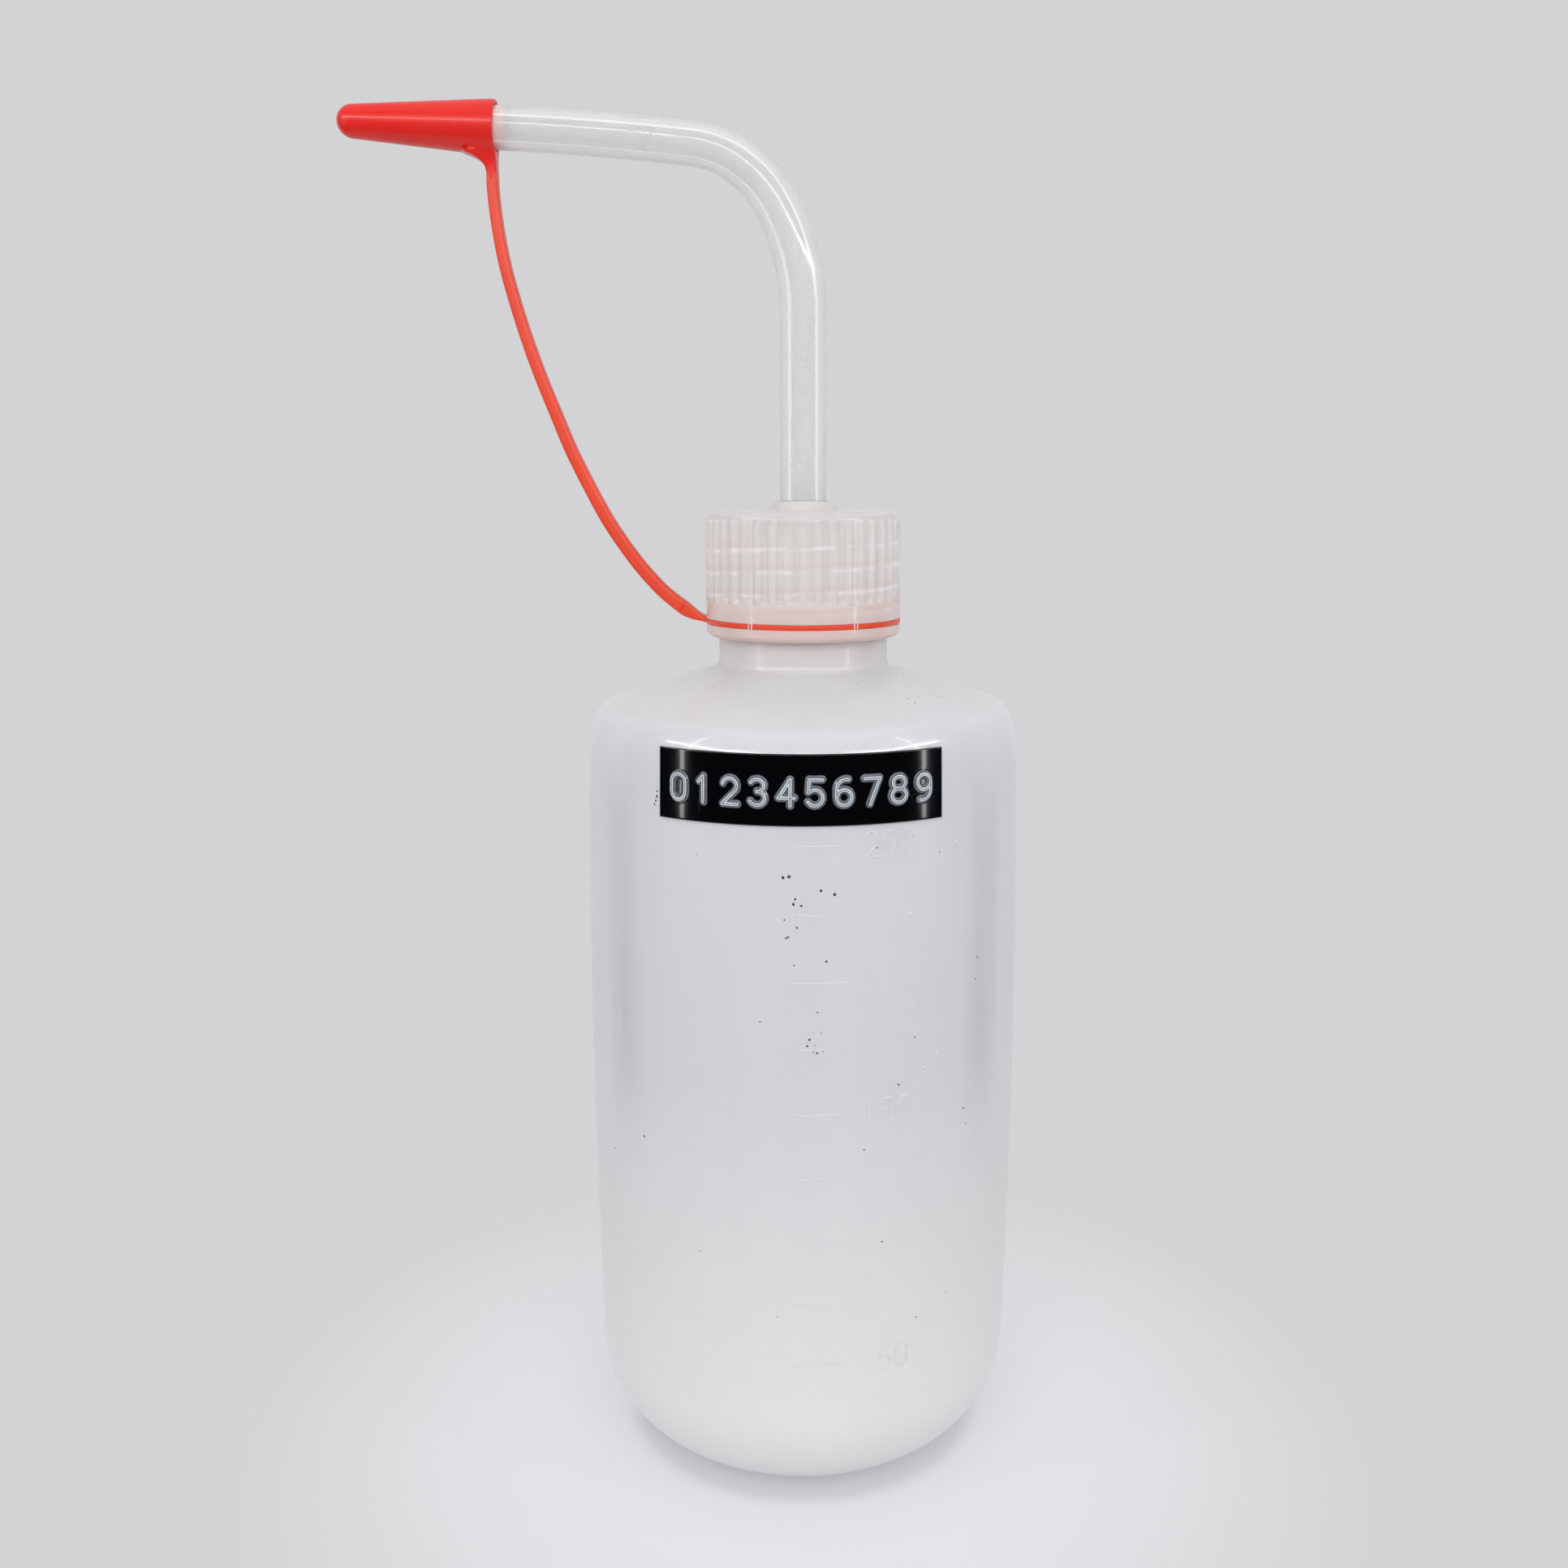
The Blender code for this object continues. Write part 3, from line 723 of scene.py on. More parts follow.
def capPaint():
    look = capLook
    paint = Paint("cloudyPlastic", Transmission_Weight=1.0, IOR=plasticIndex)
    height = paint.axis("Z")
    cloud = paint.noise(180.0, 3.0)
    fine = paint.noise(2200.0, 3.0, 0.6)
    # painted red light from the red tether ring, on the cap's lower skirt
    ringRedLightShare = (1.0 - height.between(*look["pinkTo"]) + 0.10 * (cloud - 0.5)).clamped()
    paint.feed("Base Color", paint.mix(look["colour"], look["paintedRingRedLight"], ringRedLightShare))
    paint.feed("Roughness", (look["roughness"] + 0.10 * (cloud - 0.5) + 0.06 * (fine - 0.5)).clamped())
    normal = paint.bump(0.4 * fine + 1.2 * cloud, 0.04 * mm, 0.4)
    # painted highlight and painted shade along the neck's thread, where it shows faintly through the wall
    turn = height.maths("ARCTAN2", paint.axis("X"), 0.0 - paint.axis("Y")) / math.tau
    level = height.maths("FRACT", (height - look["threadLevel"]) / bottleShape["threadPitch"] - turn)
    inside = height.between(*look["threadFrom"]) * (1.0 - height.between(*look["threadTo"]))
    patchy = paint.noise(320.0, 2.0, 0.5, paint.stretched((1.0, 1.0, 2.5))).between(0.40, 0.60)
    lit = level.between(0.34, 0.50) * (1.0 - level.between(0.52, 0.66)) * inside * patchy
    dim = level.between(0.62, 0.70) * (1.0 - level.between(0.80, 0.92)) * inside
    milk = paint.mix(look["milk"], look["paintedRingRedLightMilk"], (ringRedLightShare + 0.35 * dim).clamped())
    milk = paint.mix(milk, look["paintedThreadHighlight"], 0.6 * lit)
    share = (look["milkShare"] + 0.10 * (cloud - 0.5) + 0.10 * lit).clamped()
    paint.cloudedOver(share, milk, look["milkRoughness"], normal)
    return paint


cloudy = capPaint()


def ribOut(height, angle):
    s = capShape
    if height > s["ribTop"] or height < s["ribBottom"] - 0.01 * mm:
        return 0.0
    spot = angle / math.tau * s["ribs"]
    across = abs(spot - round(spot))
    top = s["ribTop"] - s["ribArch"]
    narrow = 1.0
    if height > top:
        narrow = math.sqrt(max(0.0, 1.0 - ((height - top) / s["ribArch"]) ** 2))
    foot = s["ribFoot"] * narrow
    crest = s["ribCrest"] * narrow
    if across >= foot or narrow < 0.05:
        return 0.0
    t = min(1.0, (foot - across) / max(foot - crest, 1e-6))
    return s["ribHeight"] * t * t * (3.0 - 2.0 * t) * min(1.0, 0.35 + narrow)


def makeScrewCap():
    s = capShape
    top = capHigh.z - s["collarRise"]
    bore = tubeRadius + s["boreGap"]
    valley = s["radius"] - s["ribHeight"]
    under = top - s["roof"]
    profile = softened([
        (bore, capHigh.z, 0.15 * mm),
        (s["collarTip"], capHigh.z, 0.25 * mm),
        (s["collarBase"], top, 0.3 * mm),
        (valley - s["edge"], top, 0.0),
    ])
    profile += arc(valley - s["edge"], top - s["edge"], s["edge"], s["edge"], 85.0, 5.0, 8)
    rows = 40
    bandTop = min(s["ribTop"] + 0.05 * mm, top - s["edge"])
    drop = s["ribBottom"] + 0.25 * mm - bandTop
    profile += [(valley, bandTop + drop * i / rows) for i in range(rows + 1)]
    profile += softened([
        (s["radius"], s["ribBottom"] - 0.15 * mm, 0.12 * mm),
        (s["radius"], ringLevel + s["grooveHalf"], 0.15 * mm),
        (s["grooveFloor"], ringLevel + s["grooveHalf"], 0.1 * mm),
        (s["grooveFloor"], ringLevel - s["grooveHalf"], 0.1 * mm),
        (s["radius"], ringLevel - s["grooveHalf"], 0.15 * mm),
        (s["radius"], capLow.z + s["lip"], 0.2 * mm),
        (s["radius"] - s["lip"], capLow.z, 0.2 * mm),
        (s["bore"], capLow.z, 0.2 * mm),
    ])
    rows = 60
    threadLow = capLow.z + 1.0 * mm
    threadTop = under - 1.0 * mm
    profile += [(s["bore"], threadLow + (threadTop - threadLow) * i / rows) for i in range(rows + 1)]
    profile += softened([
        (s["bore"], under, 0.4 * mm),
        (bore, under, 0.1 * mm),
    ])

    def bulge(radius, height, angle):
        if abs(radius - valley) < 0.001 * mm:
            return ribOut(height, angle)
        if abs(radius - s["bore"]) < 0.001 * mm and threadLow < height < threadTop:
            return -beadHeight(height, (angle + math.pi) % math.tau, s["threadTurns"])
        return 0.0

    cap = lathe("cap_shell", profile, s["ribs"] * s["stepsPerRib"], cloudy, bulge, sharp=60)
    finished(cap, "cap", "cloudy_cap", "screw_cap")


makeScrewCap()


def makeLiner():
    paint = Paint("whiteFoam", Subsurface_Weight=0.2, Subsurface_Scale=1.0 * mm)
    cells = paint.noise(2600.0, 3.0, 0.7)
    paint.feed("Base Color", paint.mix((0.72, 0.72, 0.70), (0.90, 0.90, 0.88), cells))
    paint.feed("Roughness", (0.75 + 0.2 * (cells - 0.5)).clamped())
    paint.bump(cells, 0.08 * mm, 0.6)
    hole = tubeRadius + 0.45 * mm
    outside = linerHigh.x
    profile = softened([
        (hole, linerHigh.z, 0.1 * mm), (outside, linerHigh.z, 0.2 * mm),
        (outside, linerLow.z, 0.2 * mm), (hole, linerLow.z, 0.1 * mm),
    ])
    liner = lathe("liner_disc", profile, 96, paint)
    finished(liner, "liner", "white_liner", "cap_liner")


makeLiner()
print("cap made")


tubeShape = {
    "radius": tubeRadius,
    "mouthRadius": 2.8 * mm,
    "bore": 1.25 * mm,
    "bendStart": 160.6 * mm,
    "bends": ((27.9 * mm, 31.0), (14.5 * mm, 52.8), (385.0 * mm, 3.8)),
    "flangeTop": 130.2 * mm,
    "flangeRadius": 4.4 * mm,
    "flangeThickness": 1.0 * mm,
    "stubRadius": 1.9 * mm,
    "jetLength": 14.0 * mm,
    "jetShoulder": 5.0 * mm,
    "jetShoulderRadius": 2.2 * mm,
    "jetRadius": 1.0 * mm,
    "jetBore": 0.5 * mm,
    "dipBore": 2.2 * mm,
    "dipStraight": 12.0 * mm,        # height where the slanting cut starts
    "dipSlant": 35.0,
    "steps": 56,
}


def spoutPath():
    s = tubeShape
    place = Vector((0.0, 0.0, s["bendStart"]))
    heading = math.pi / 2
    points = [place.copy()]
    headings = [heading]
    for radius, angle in s["bends"]:
        count = max(8, round(angle / 1.5))
        step = math.radians(angle) / count
        chord = 2 * radius * math.sin(step / 2)
        for _ in range(count):
            turn = heading + step / 2
            place = place + chord * Vector((math.cos(turn), 0.0, math.sin(turn)))
            heading += step
            points.append(place.copy())
            headings.append(heading)
    return points, headings


bendPoints, bendHeadings = spoutPath()
mouth = bendPoints[-1]
mouthAhead = Vector((math.cos(bendHeadings[-1]), 0.0, math.sin(bendHeadings[-1])))
tipTurn = Matrix.Translation(mouth) @ mouthAhead.to_track_quat("Z", "Y").to_matrix().to_4x4()


clearLook = {
    "colour": (0.985, 0.988, 0.988),
    "speck": (0.80, 0.80, 0.82),
    "milk": (0.94, 0.94, 0.935),
    "paintedBoreHighlight": (1.0, 1.0, 1.0),
    "paintedCapRedReflection": (0.90, 0.42, 0.37),
    "roughness": 0.09,
    "milkRoughness": 0.28,
    "milkShare": 0.24,
    "outlineInner": (0.150, 0.185),  # how far the skin turns away, 0 to 1
    "outlineOuter": (0.20, 0.26),
    "wall": (0.19, 0.24),
    "glowFrom": (-0.6 * mm, -0.2 * mm),
    "glowTo": (0.1 * mm, 2.2 * mm),
}


def clearPaint():
    look = clearLook
    paint = Paint("clearTube", Transmission_Weight=1.0, IOR=plasticIndex)
    cloud = paint.noise(220.0, 3.0)
    fine = paint.noise(1500.0, 2.0, 0.5)
    bits = paint.noise(700.0, 1.0, 0.4).between(0.74, 0.80)
    paint.feed("Base Color", paint.mix(look["colour"], look["speck"], 0.5 * bits))
    paint.feed("Roughness", (look["roughness"] + 0.04 * cloud + 0.20 * bits).clamped())
    normal = paint.bump(0.05 * fine + 0.5 * cloud + 0.6 * bits, 0.004 * mm, 0.08)
    bore = paint.node("Attribute", {"attribute_name": "insideBore"}, {}, "Fac")
    facing = paint.node("LayerWeight", {}, {"Blend": 0.5}, "Facing")
    # painted highlight lines on the bore's outline, and painted whitening of the thick wall beside it, where
    # the outer skin turns away
    outline = facing.between(*look["outlineInner"]) * (1.0 - facing.between(*look["outlineOuter"]))
    wall = facing.between(*look["wall"])
    # painted red reflection of the tip cap where it meets the tube, and none on the jet
    along = paint.axis("X") - mouth.x
    glow = along.between(*look["glowFrom"]) * (1.0 - along.between(*look["glowTo"]))
    share = look["milkShare"] + 0.05 * cloud + (0.06 * wall + 0.30 * outline) * (1.0 - bore) + 0.40 * glow
    milk = paint.mix(look["milk"], look["paintedBoreHighlight"], outline)
    milk = paint.mix(milk, look["paintedCapRedReflection"], 0.5 * glow)
    paint.cloudedOver(share.clamped(), milk, look["milkRoughness"], normal)
    return paint


def markBore(piece, firstRow, perRow):
    inside = piece.data.attributes.new("insideBore", "FLOAT", "POINT")
    inside.data.foreach_set("value", [float(i >= firstRow * perRow) for i in range(len(piece.data.vertices))])


clear = clearPaint()


def makeSpout():
    s = tubeShape
    flangeBottom = s["flangeTop"] - s["flangeThickness"]
    # outer line: stub, flange, straight, bend, jet; as (point, radius)
    line = [(Vector((0.0, 0.0, height)), radius) for height, radius in (
        (spoutLow.z, s["stubRadius"] - 0.3 * mm),
        (spoutLow.z + 0.6 * mm, s["stubRadius"]),
        (flangeBottom - 0.01 * mm, s["stubRadius"]),
        (flangeBottom, s["flangeRadius"] - 0.1 * mm),
        (flangeBottom + 0.1 * mm, s["flangeRadius"]),
        (s["flangeTop"] - 0.1 * mm, s["flangeRadius"]),
        (s["flangeTop"], s["flangeRadius"] - 0.1 * mm),
        (s["flangeTop"] + 0.01 * mm, s["radius"]),
    )]
    straight = 14
    for i in range(1, straight):
        height = s["flangeTop"] + (s["bendStart"] - s["flangeTop"]) * i / straight
        line.append((Vector((0.0, 0.0, height)), s["radius"]))
    last = len(bendPoints) - 1
    for i, place in enumerate(bendPoints):
        line.append((place, s["radius"] + (s["mouthRadius"] - s["radius"]) * i / last))
    jet = ((0.3 * s["jetShoulder"], s["mouthRadius"]), (s["jetShoulder"], s["jetShoulderRadius"]),
           (s["jetLength"] - 0.2 * mm, s["jetRadius"]), (s["jetLength"], s["jetRadius"] - 0.15 * mm))
    line += [(mouth + mouthAhead * along, radius) for along, radius in jet]
    # the bore runs back down inside
    inside = [(mouth + mouthAhead * s["jetLength"], s["jetBore"]),
              (mouth + mouthAhead * (s["jetLength"] - 3.0 * mm), s["jetBore"]),
              (mouth + mouthAhead * (s["jetLength"] - 8.5 * mm), 0.8 * s["bore"])]
    inside += [(place, s["bore"]) for place in reversed(bendPoints)]
    for i in range(straight, 0, -1):
        height = s["flangeTop"] + (s["bendStart"] - s["flangeTop"]) * (i - 1) / straight
        inside.append((Vector((0.0, 0.0, height)), s["bore"]))
    inside.append((Vector((0.0, 0.0, spoutLow.z)), s["bore"]))

    def ring(place, radius, ahead):
        across = Vector((0.0, 1.0, 0.0))
        up = ahead.cross(across)
        return [place + across * a + up * b for a, b in circle(radius, s["steps"])]

    rows = [ring(p, r, a) for (p, r), a in zip(line, directions([p for p, _ in line]))]
    rows += [ring(p, r, -a) for (p, r), a in zip(inside, directions([p for p, _ in inside]))]
    spout = addPiece("spout_tube", gridMesh("spout_tube", rows, True, True, 50), clear)
    markBore(spout, len(line), s["steps"])
    finished(spout, "spout", "clear_tube", "spout")


makeSpout()


def makeDipTube():
    s = tubeShape
    slant = math.tan(math.radians(s["dipSlant"]))
    steps = s["steps"]
    rows = []
    drop = dipHigh.z - s["dipStraight"]
    heights = [dipHigh.z - 0.1 * mm] + [dipHigh.z - drop * i / 10 for i in range(1, 11)]

    def ring(radius, height):
        return [Vector((x, y, height)) for x, y in circle(radius, steps)]

    def cut(radius):
        made = ring(radius, dipLow.z)
        for v in made:
            v.z += (v.x + tubeRadius) * slant * 0.95
        return made

    rows.append(ring(s["dipBore"] + 0.1 * mm, dipHigh.z))
    rows.append(ring(tubeRadius - 0.1 * mm, dipHigh.z))
    rows += [ring(tubeRadius, h) for h in heights]
    rows.append(cut(tubeRadius))
    rows.append(cut(s["dipBore"]))
    rows += [ring(s["dipBore"], h) for h in reversed(heights)]
    dip = addPiece("dip_pipe", gridMesh("dip_pipe", rows, True, True, 50), clear)
    markBore(dip, len(heights) + 3, steps)
    finished(dip, "spout", "clear_tube", "dip_tube")


makeDipTube()
print("tubes made")


tipShape = {
    "length": 21.0 * mm,
    "mouthRadius": 3.5 * mm,
    "noseRadius": 2.15 * mm,
    "hollow": 15.5 * mm,
    "gap": 0.12 * mm,
    "lugWidth": 2.6 * mm,
}


def makeTipCap():
    s = tipShape
    t = tubeShape
    nose = s["length"] - s["noseRadius"]
    outside = arc(0.0, nose, s["noseRadius"], s["noseRadius"], 90.0, 4.0, 12)
    count = 14
    startR, startZ = outside[-1]
    for i in range(1, count):
        share = i / count
        outside.append((startR + (s["mouthRadius"] - startR) * share, startZ + (1.0 * mm - startZ) * share))
    rim = s["mouthRadius"]
    outside += [(rim, 0.6 * mm), (rim, 0.15 * mm), (rim - 0.15 * mm, 0.0)]
    inside = [
        (t["mouthRadius"] + s["gap"], 0.0),
        (t["mouthRadius"] + s["gap"], 0.35 * t["jetShoulder"]),
        (t["jetShoulderRadius"] + s["gap"], t["jetShoulder"]),
        (t["jetRadius"] + s["gap"], s["hollow"]),
        (0.0, s["hollow"]),
    ]
    body = lathe("tip_body", outside + inside, 72, None, closeAlong=False)
    body.data.transform(tipTurn)
    top = strapLine[0]
    root = Vector((top.x - 0.1 * mm, 0.0, mouth.z - s["mouthRadius"] + 0.6 * mm))
    down = (strapLine[1] - strapLine[0]).normalized()
    lugLine = smoothLine([root, root.lerp(top, 0.5), top, top + down * 1.2 * mm], 8)
    last = len(lugLine) - 1

    def outline(i):
        share = min(1.0, i / (0.72 * last))
        flare = (1.0 - share) ** 2.6
        thickness = strapShape["topThickness"] + 0.02 * mm + 3.2 * mm * flare
        width = s["lugWidth"] + 0.02 * mm + 1.4 * mm * flare
        return [(a, b - 1.5 * mm * flare) for a, b in flatOutline(width, thickness, 0.5 * mm)]

    lug = sweep("tip_lug", lugLine, outline)
    whole = fused("tip_cap_shell", [body, lug], 0.16 * mm, 6, redSolid)
    finished(whole, "tip_cap", "red_plastic", "tip_cap")


makeTipCap()


def makeRingClips():
    # thin lips of the cap that hold the ring in its groove
    s = capShape
    shape = bmesh.new()
    for middle in s["clipTurns"]:
        for offset in (-1.0, 1.0):
            turn = math.radians(middle - 90 + offset)
            grown = bmesh.ops.create_cube(shape, size=1.0)
            squeezed = Matrix.Diagonal((0.10 * mm, 0.16 * mm, 2 * s["grooveHalf"] + 0.3 * mm, 1.0))
            place = Matrix.Translation((s["radius"] + 0.13 * mm, 0.0, ringLevel))
            place = Matrix.Rotation(turn, 4, "Z") @ place
            bmesh.ops.transform(shape, matrix=place @ squeezed, verts=grown["verts"])
    finished(addPiece("ring_clips", meshOf("ring_clips", shape), cloudy), "cap", "cloudy_cap")


makeRingClips()


ringShape = {
    "inner": 12.8 * mm,
    "outer": 13.50 * mm,
    "half": 0.33 * mm,               # half the ring's height
}


def makeRing():
    inner, outer, half = ringShape["inner"], ringShape["outer"], ringShape["half"]
    profile = softened([
        (inner, ringLevel + half, 0.1 * mm), (outer, ringLevel + half, 0.15 * mm),
        (outer, ringLevel - half, 0.15 * mm), (inner, ringLevel - half, 0.1 * mm),
    ])
    ring = lathe("ring_band", profile, 220, redThin)
    end = strapLine[-1]
    ahead = (strapLine[-1] - strapLine[-3]).normalized()
    root = Vector((-inner - 0.2 * mm, 0.0, ringLevel))
    knee = Vector((-outer - 1.5 * mm, 0.0, ringLevel + 0.45 * mm))
    line = [end - ahead * 1.2 * mm, end - ahead * 0.6 * mm]
    for i in range(15):
        t = i / 14
        line.append(end * (1 - t) ** 2 + knee * 2 * t * (1 - t) + root * t ** 2)
    last = len(line) - 1

    def outline(i):
        share = max(0.0, (i - 2) / (last - 2))
        thickness = strapShape["bottomThickness"] - 0.02 * mm - 1.20 * mm * eased(share)
        width = strapShape["width"] - 0.02 * mm + 1.6 * mm * share ** 3
        return flatOutline(width, thickness, 0.28 * mm)

    lug = sweep("ring_tab", line, outline, redThin)
    finished(ring, "tether", "red_plastic", "tether_ring")
    finished(lug, "tether", "red_plastic")


makeRing()
print("red pieces made")


digitLines = {                       # strokes in a box one wide and one high
    "0": [arc(0.5, 0.70, 0.5, 0.30, 0, 180) + arc(0.5, 0.30, 0.5, 0.30, 180, 360) + [(1.0, 0.70)]],
    "1": [[(0.5, 0.0), (0.5, 1.0), (0.18, 0.78)]],
    "2": [arc(0.5, 0.70, 0.48, 0.30, 165, -30) + [(0.02, 0.0), (1.0, 0.0)]],
    "3": [arc(0.47, 0.76, 0.45, 0.24, 150, -90) + arc(0.47, 0.27, 0.50, 0.27, 90, -155)],
    "4": [[(0.74, 0.0), (0.74, 1.0), (0.0, 0.30), (1.0, 0.30)]],
    "5": [[(0.94, 1.0), (0.12, 1.0), (0.06, 0.52)] + arc(0.47, 0.31, 0.50, 0.31, 125, -150)],
    "6": [arc(0.62, 0.62, 0.60, 0.38, 75, 180, 8) + arc(0.5, 0.30, 0.48, 0.30, 180, 540, 18)],
    "7": [[(0.0, 1.0), (1.0, 1.0), (0.36, 0.0)]],
    "8": [arc(0.5, 0.76, 0.43, 0.24, -90, 270, 18), arc(0.5, 0.27, 0.50, 0.27, 90, 450, 18)],
    "9": [arc(0.38, 0.38, 0.60, 0.38, -105, 0, 8) + arc(0.5, 0.70, 0.48, 0.30, 0, 360, 18)],
}

scaleShape = {
    "firstLine": 23.4 * mm,          # the 50 line; the others follow upwards
    "lineStep": 8.8 * mm,
    "lineCount": 9,
    "longLine": (-1.5 * mm, 5.6 * mm),
    "shortLine": (-1.0 * mm, 3.1 * mm),
    "numbers": {0: "50", 4: "150", 8: "250"},
    "numberEnd": 14.4 * mm,          # along the wall, to the right of the middle
    "numberHeight": 3.3 * mm,
    "numberWidth": 1.7 * mm,
    "numberPitch": 2.45 * mm,
    "lineRadius": 0.11 * mm,
    "sunk": 0.055 * mm,
}


def digitStrokes(digit, left, low, width, height):
    return [[(left + a * width, low + b * height) for a, b in line] for line in digitLines[digit]]


def onWall(along, height, out=0.0):
    # a point on the bottle's side, along it from the front middle
    radius = sideRadius(height)
    angle = -math.pi / 2 + along / radius
    return Vector(((radius + out) * math.cos(angle), (radius + out) * math.sin(angle), height))


def strokeTube(name, places, radius, paint):
    # a round ridge through places given as (along, height), laid on the wall
    fine = []
    for (ax, az), (bx, bz) in zip(places, places[1:]):
        count = max(1, round(math.hypot(bx - ax, bz - az) / (0.35 * mm)))
        fine += [(ax + (bx - ax) * i / count, az + (bz - az) * i / count) for i in range(count)]
    fine.append(places[-1])
    points = [onWall(x, z, -scaleShape["sunk"]) for x, z in fine]
    outward = Vector((points[0].x, points[0].y, 0.0)).normalized()
    return sweep(name, points, lambda i: circle(radius, 8), paint, side=outward)


def bubblePaint():
    paint = Paint("blisters", Transmission_Weight=0.3, IOR=plasticIndex)
    grain = paint.noise(3000.0, 2.0)
    paint.feed("Base Color", paint.mix((0.79, 0.80, 0.82), (0.90, 0.905, 0.915), grain))
    paint.feed("Roughness", (0.10 + 0.1 * grain).clamped())
    return paint


blister = bubblePaint()


def makeGraduations():
    s = scaleShape
    ridges = []
    for i in range(s["lineCount"]):
        height = s["firstLine"] + s["lineStep"] * i
        places = [(along, height) for along in (s["shortLine"] if i % 2 else s["longLine"])]
        ridges.append(strokeTube("graduation", places, s["lineRadius"], blister))
        number = s["numbers"].get(i)
        if not number:
            continue
        start = s["numberEnd"] - s["numberPitch"] * (len(number) - 1) - s["numberWidth"]
        for j, digit in enumerate(number):
            left = start + s["numberPitch"] * j
            low = height - s["numberHeight"] / 2
            for places in digitStrokes(digit, left, low, s["numberWidth"], s["numberHeight"]):
                ridges.append(strokeTube("numeral", places, s["lineRadius"] * 1.2, blister))
    finished(joined("graduations", ridges), "bottle", "frosted_bottle")


makeGraduations()

tapeShape = {
    "text": "0123456789",
    "angle": 72.4,
    "shift": -0.37 * mm,             # the strip sits a little off the middle
    "clearance": 0.05 * mm,          # off the bottle's wall
    "thickness": 0.28 * mm,
    "relief": 0.30 * mm,
    "reach": 0.54 * mm,              # from a stroke's middle to where the tape is flat again
    "core": 0.27 * mm,               # half the stroke's whitened width
    "digitHeight": 3.25 * mm,
    "digitWidth": 1.95 * mm,
    "digitMiddle": 100.65 * mm,
    "pitch": 3.52 * mm,
    "firstMiddle": -15.75 * mm,      # along the wall, middle of the first digit
    "grid": 0.085 * mm,
}
tapeLook = {
    "black": (0.0012, 0.0013, 0.0020),
    "stroke": (0.60, 0.66, 0.71),
    "strokeMiddle": (0.10, 0.12, 0.15),
    "stretched": (0.15, 0.165, 0.19),            # the tape beside a stroke
    "scratch": (0.05, 0.052, 0.06),
}


def strokeDistance(across, up):
    # the distance of each grid point from the nearest digit's nearest stroke
    s = tapeShape
    nearest = np.full(across.shape, 9.0 * mm)
    for i, digit in enumerate(s["text"]):
        left = s["firstMiddle"] + s["pitch"] * i - s["digitWidth"] / 2
        low = s["digitMiddle"] - s["digitHeight"] / 2
        for places in digitStrokes(digit, left, low, s["digitWidth"], s["digitHeight"]):
            for (ax, az), (bx, bz) in zip(places, places[1:]):
                stepX, stepZ = bx - ax, bz - az
                share = ((across - ax) * stepX + (up - az) * stepZ) / (stepX ** 2 + stepZ ** 2)
                share = np.clip(share, 0.0, 1.0)
                nearest = np.minimum(nearest, np.hypot(across - ax - share * stepX, up - az - share * stepZ))
    return nearest


def tapePaint():
    paint = Paint("blackTape", IOR=1.50, Coat_Weight=0.3, Coat_Roughness=0.03,
                  Specular_IOR_Level=0.35)
    stroke = paint.node("Attribute", {"attribute_name": "strokeDistance"}, {}, "Fac")     # in mm
    worn = paint.noise(2400.0, 3.0, 0.6)
    patch = paint.noise(500.0, 3.0, 0.6)
    away = stroke + 0.10 * (worn - 0.5)
    core = 1.0 - away.between(0.18, 0.24)
    middle = 1.0 - away.between(0.05, 0.10)
    halo = away.between(0.27, 0.31) * (1.0 - away.between(0.36, 0.58))
    colour = paint.mix(tapeLook["black"], tapeLook["stretched"], halo)
    colour = paint.mix(colour, tapeLook["stroke"], core * (0.62 + 0.6 * patch).clamped())
    colour = paint.mix(colour, tapeLook["strokeMiddle"], 0.8 * middle)
    scratch = paint.noise(300.0, 4.0, 0.7, paint.stretched((4.0, 1.0, 0.35))).between(0.66, 0.80)
    colour = paint.mix(colour, tapeLook["scratch"], 0.35 * scratch)
    paint.feed("Base Color", colour)
    paint.feed("Roughness", (0.10 + 0.12 * core + 0.10 * scratch + 0.05 * patch).clamped())
    paint.bump(0.5 * worn * core + 0.25 * patch, 0.05 * mm, 0.4)
    return paint


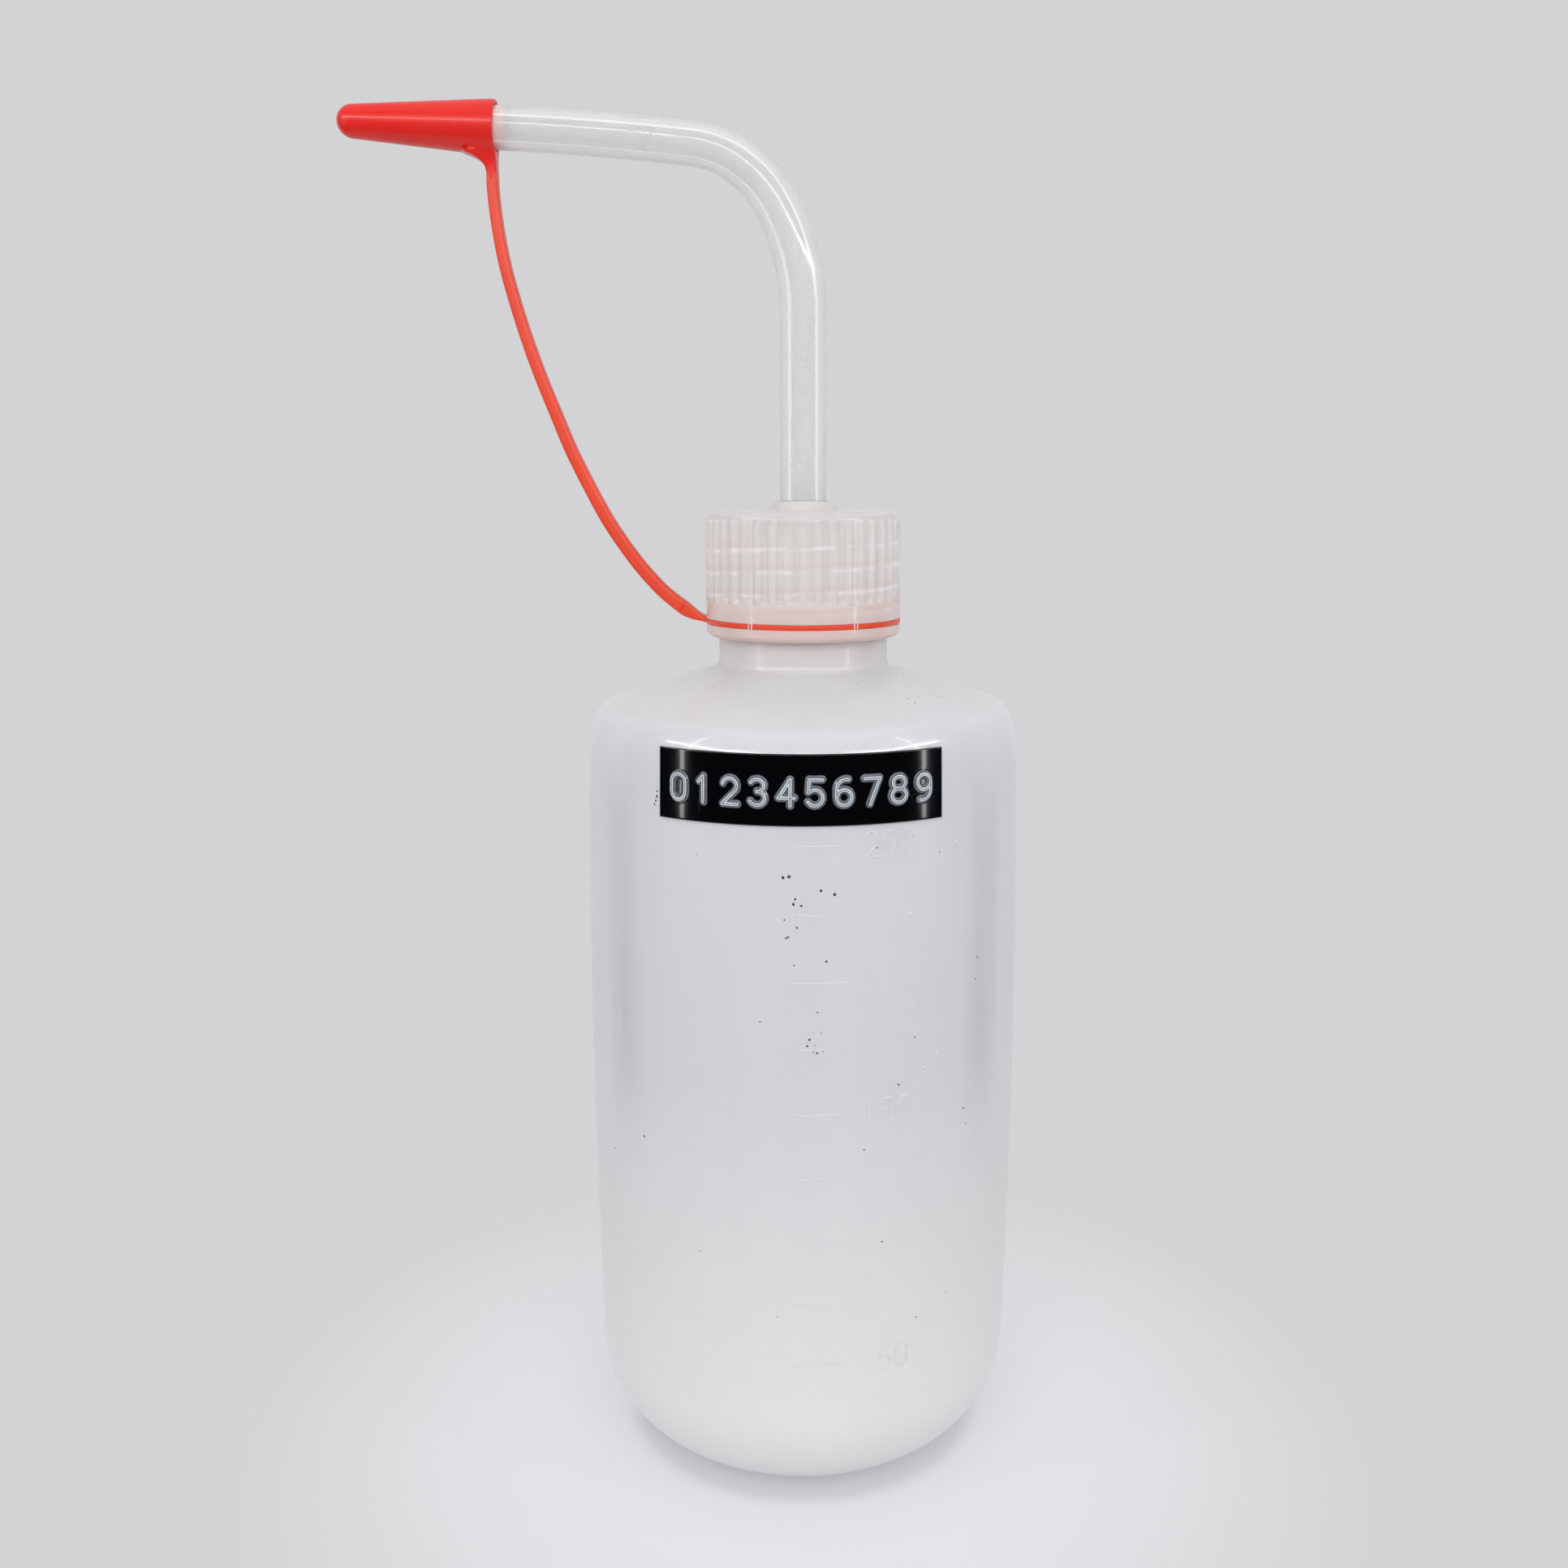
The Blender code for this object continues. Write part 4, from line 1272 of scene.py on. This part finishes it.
def makeTape():
    s = tapeShape
    radius = sideRadius((tapeLow.z + tapeHigh.z) / 2)
    half = math.radians(s["angle"]) / 2 * radius
    columns = round(2 * half / s["grid"])
    rows = round((tapeHigh.z - tapeLow.z) / s["grid"])
    across, up = np.meshgrid(np.linspace(-half, half, columns + 1),
                             np.linspace(tapeLow.z, tapeHigh.z, rows + 1))
    away = strokeDistance(across, up)
    rise = np.clip(1.0 - (away - 0.5 * s["core"]) / (s["reach"] - 0.5 * s["core"]), 0.0, 1.0)
    rise = eased(rise) * s["relief"]
    rim = np.minimum(np.minimum(across + half, half - across), np.minimum(up - tapeLow.z, tapeHigh.z - up))
    dip = 0.08 * mm * np.clip(1.0 - rim / (0.12 * mm), 0.0, 1.0) ** 2
    angle = -math.pi / 2 + (across + s["shift"]) / radius
    inside = sideRadius(up) + s["clearance"]
    outside = inside + s["thickness"] + rise - dip
    shape = bmesh.new()
    distance = shape.verts.layers.float.new("strokeDistance")

    def skin(radii):
        made = []
        for i in range(rows + 1):
            line = []
            for j in range(columns + 1):
                r, a = radii[i, j], angle[i, j]
                vertex = shape.verts.new((r * math.cos(a), r * math.sin(a), up[i, j]))
                vertex[distance] = away[i, j] / mm
                line.append(vertex)
            made.append(line)
        for i in range(rows):
            for j in range(columns):
                shape.faces.new((made[i][j], made[i][j + 1], made[i + 1][j + 1], made[i + 1][j]))
        # the rim, once round
        right, left = [line[-1] for line in made[1:]], [line[0] for line in made[-2:0:-1]]
        return made[0] + right + made[-1][-2::-1] + left

    front = skin(outside)
    back = skin(inside)
    for i in range(len(front)):
        k = (i + 1) % len(front)
        shape.faces.new((front[i], front[k], back[k], back[i]))
    bmesh.ops.recalc_face_normals(shape, faces=shape.faces)
    mesh = meshOf("label_strip", shape)
    mesh.shade_smooth()
    mesh.set_sharp_from_angle(angle=math.radians(50))
    strip = addPiece("label_strip", mesh, tapePaint())
    finished(strip, "bottle", "black_tape", "label_tape")


makeTape()
print("marks made")


# degrees from the front, their spread, how many, size, where, then height and spread or two radii, in mm
speckGroups = (
    (-2.0, 3.0, 8, 0.17, "side", 86.0, 4.0),
    (4.0, 3.0, 8, 0.13, "side", 70.0, 3.5),
    (-38.0, 1.2, 6, 0.15, "side", 99.0, 1.5),
    (12.0, 9.0, 5, 0.18, "side", 92.0, 7.0),
    (0.0, 60.0, 22, 0.13, "side", 62.0, 36.0),
    (180.0, 80.0, 26, 0.17, "side", 60.0, 34.0),
    (45.0, 30.0, 16, 0.075, "shoulder", 13.6, 18.0),
    (-45.0, 30.0, 12, 0.075, "shoulder", 13.6, 18.0),
    (60.0, 20.0, 7, 0.10, "shoulder", 18.5, 23.0),
    (180.0, 80.0, 24, 0.08, "shoulder", 14.0, 22.5),
)
bubbleGroups = (
    (36.0, 12.0, 20, 0.24, "side", 72.0, 22.0),
    (0.0, 50.0, 14, 0.20, "side", 60.0, 36.0),
    (180.0, 70.0, 18, 0.36, "side", 60.0, 34.0),
)


def scatter(name, groups, paint, flatness, seed):
    # small low mounds: on the side at a height and its spread, on the shoulder between two radii
    draw = random.Random(seed)
    shape = bmesh.new()
    for middle, spread, count, middleSize, where, first, second in groups:
        for _ in range(count):
            turn = middle + spread * draw.uniform(-1, 1)
            rise = draw.uniform(-1, 1)
            size = middleSize * mm * draw.uniform(0.6, 1.35)
            stretch = draw.uniform(0.55, 1.0)
            twist = draw.uniform(0, math.pi)
            if where == "shoulder":
                radius = draw.uniform(first, second) * mm
                angle = math.radians(turn - 90)
                height = shoulderHeight(radius, 0.0)
                place = Vector((radius * math.cos(angle), radius * math.sin(angle), height))
                step = 0.1 * mm
                fall = (shoulderHeight(radius - step, 0.0) - shoulderHeight(radius + step, 0.0)) / (0.2 * mm)
                outward = Vector((fall * math.cos(angle), fall * math.sin(angle), 1.0)).normalized()
            else:
                height = min(first + second * rise, 99.5) * mm
                place = onWall(math.radians(turn) * sideRadius(height), height)
                outward = Vector((place.x, place.y, 0.0)).normalized()
            grown = bmesh.ops.create_uvsphere(shape, u_segments=10, v_segments=6, radius=1.0)
            turned = outward.to_track_quat("Z", "Y").to_matrix().to_4x4() @ Matrix.Rotation(twist, 4, "Z")
            squeezed = Matrix.Diagonal((size, size * stretch, size * flatness, 1.0))
            whole = Matrix.Translation(place) @ turned @ squeezed
            bmesh.ops.transform(shape, matrix=whole, verts=grown["verts"])
    mesh = meshOf(name, shape)
    mesh.shade_smooth()
    finished(addPiece(name, mesh, paint), "bottle", "frosted_bottle")


def dirtPaint():
    paint = Paint("darkSpecks", Roughness=0.6)
    grain = paint.noise(4000.0, 2.0)
    paint.feed("Base Color", paint.mix((0.012, 0.012, 0.014), (0.16, 0.15, 0.15), grain.between(0.45, 0.75)))
    return paint


scatter("dark_specks", speckGroups, dirtPaint(), 0.35, 11)
scatter("bubbles", bubbleGroups, blister, 0.30, 23)
print("specks made")
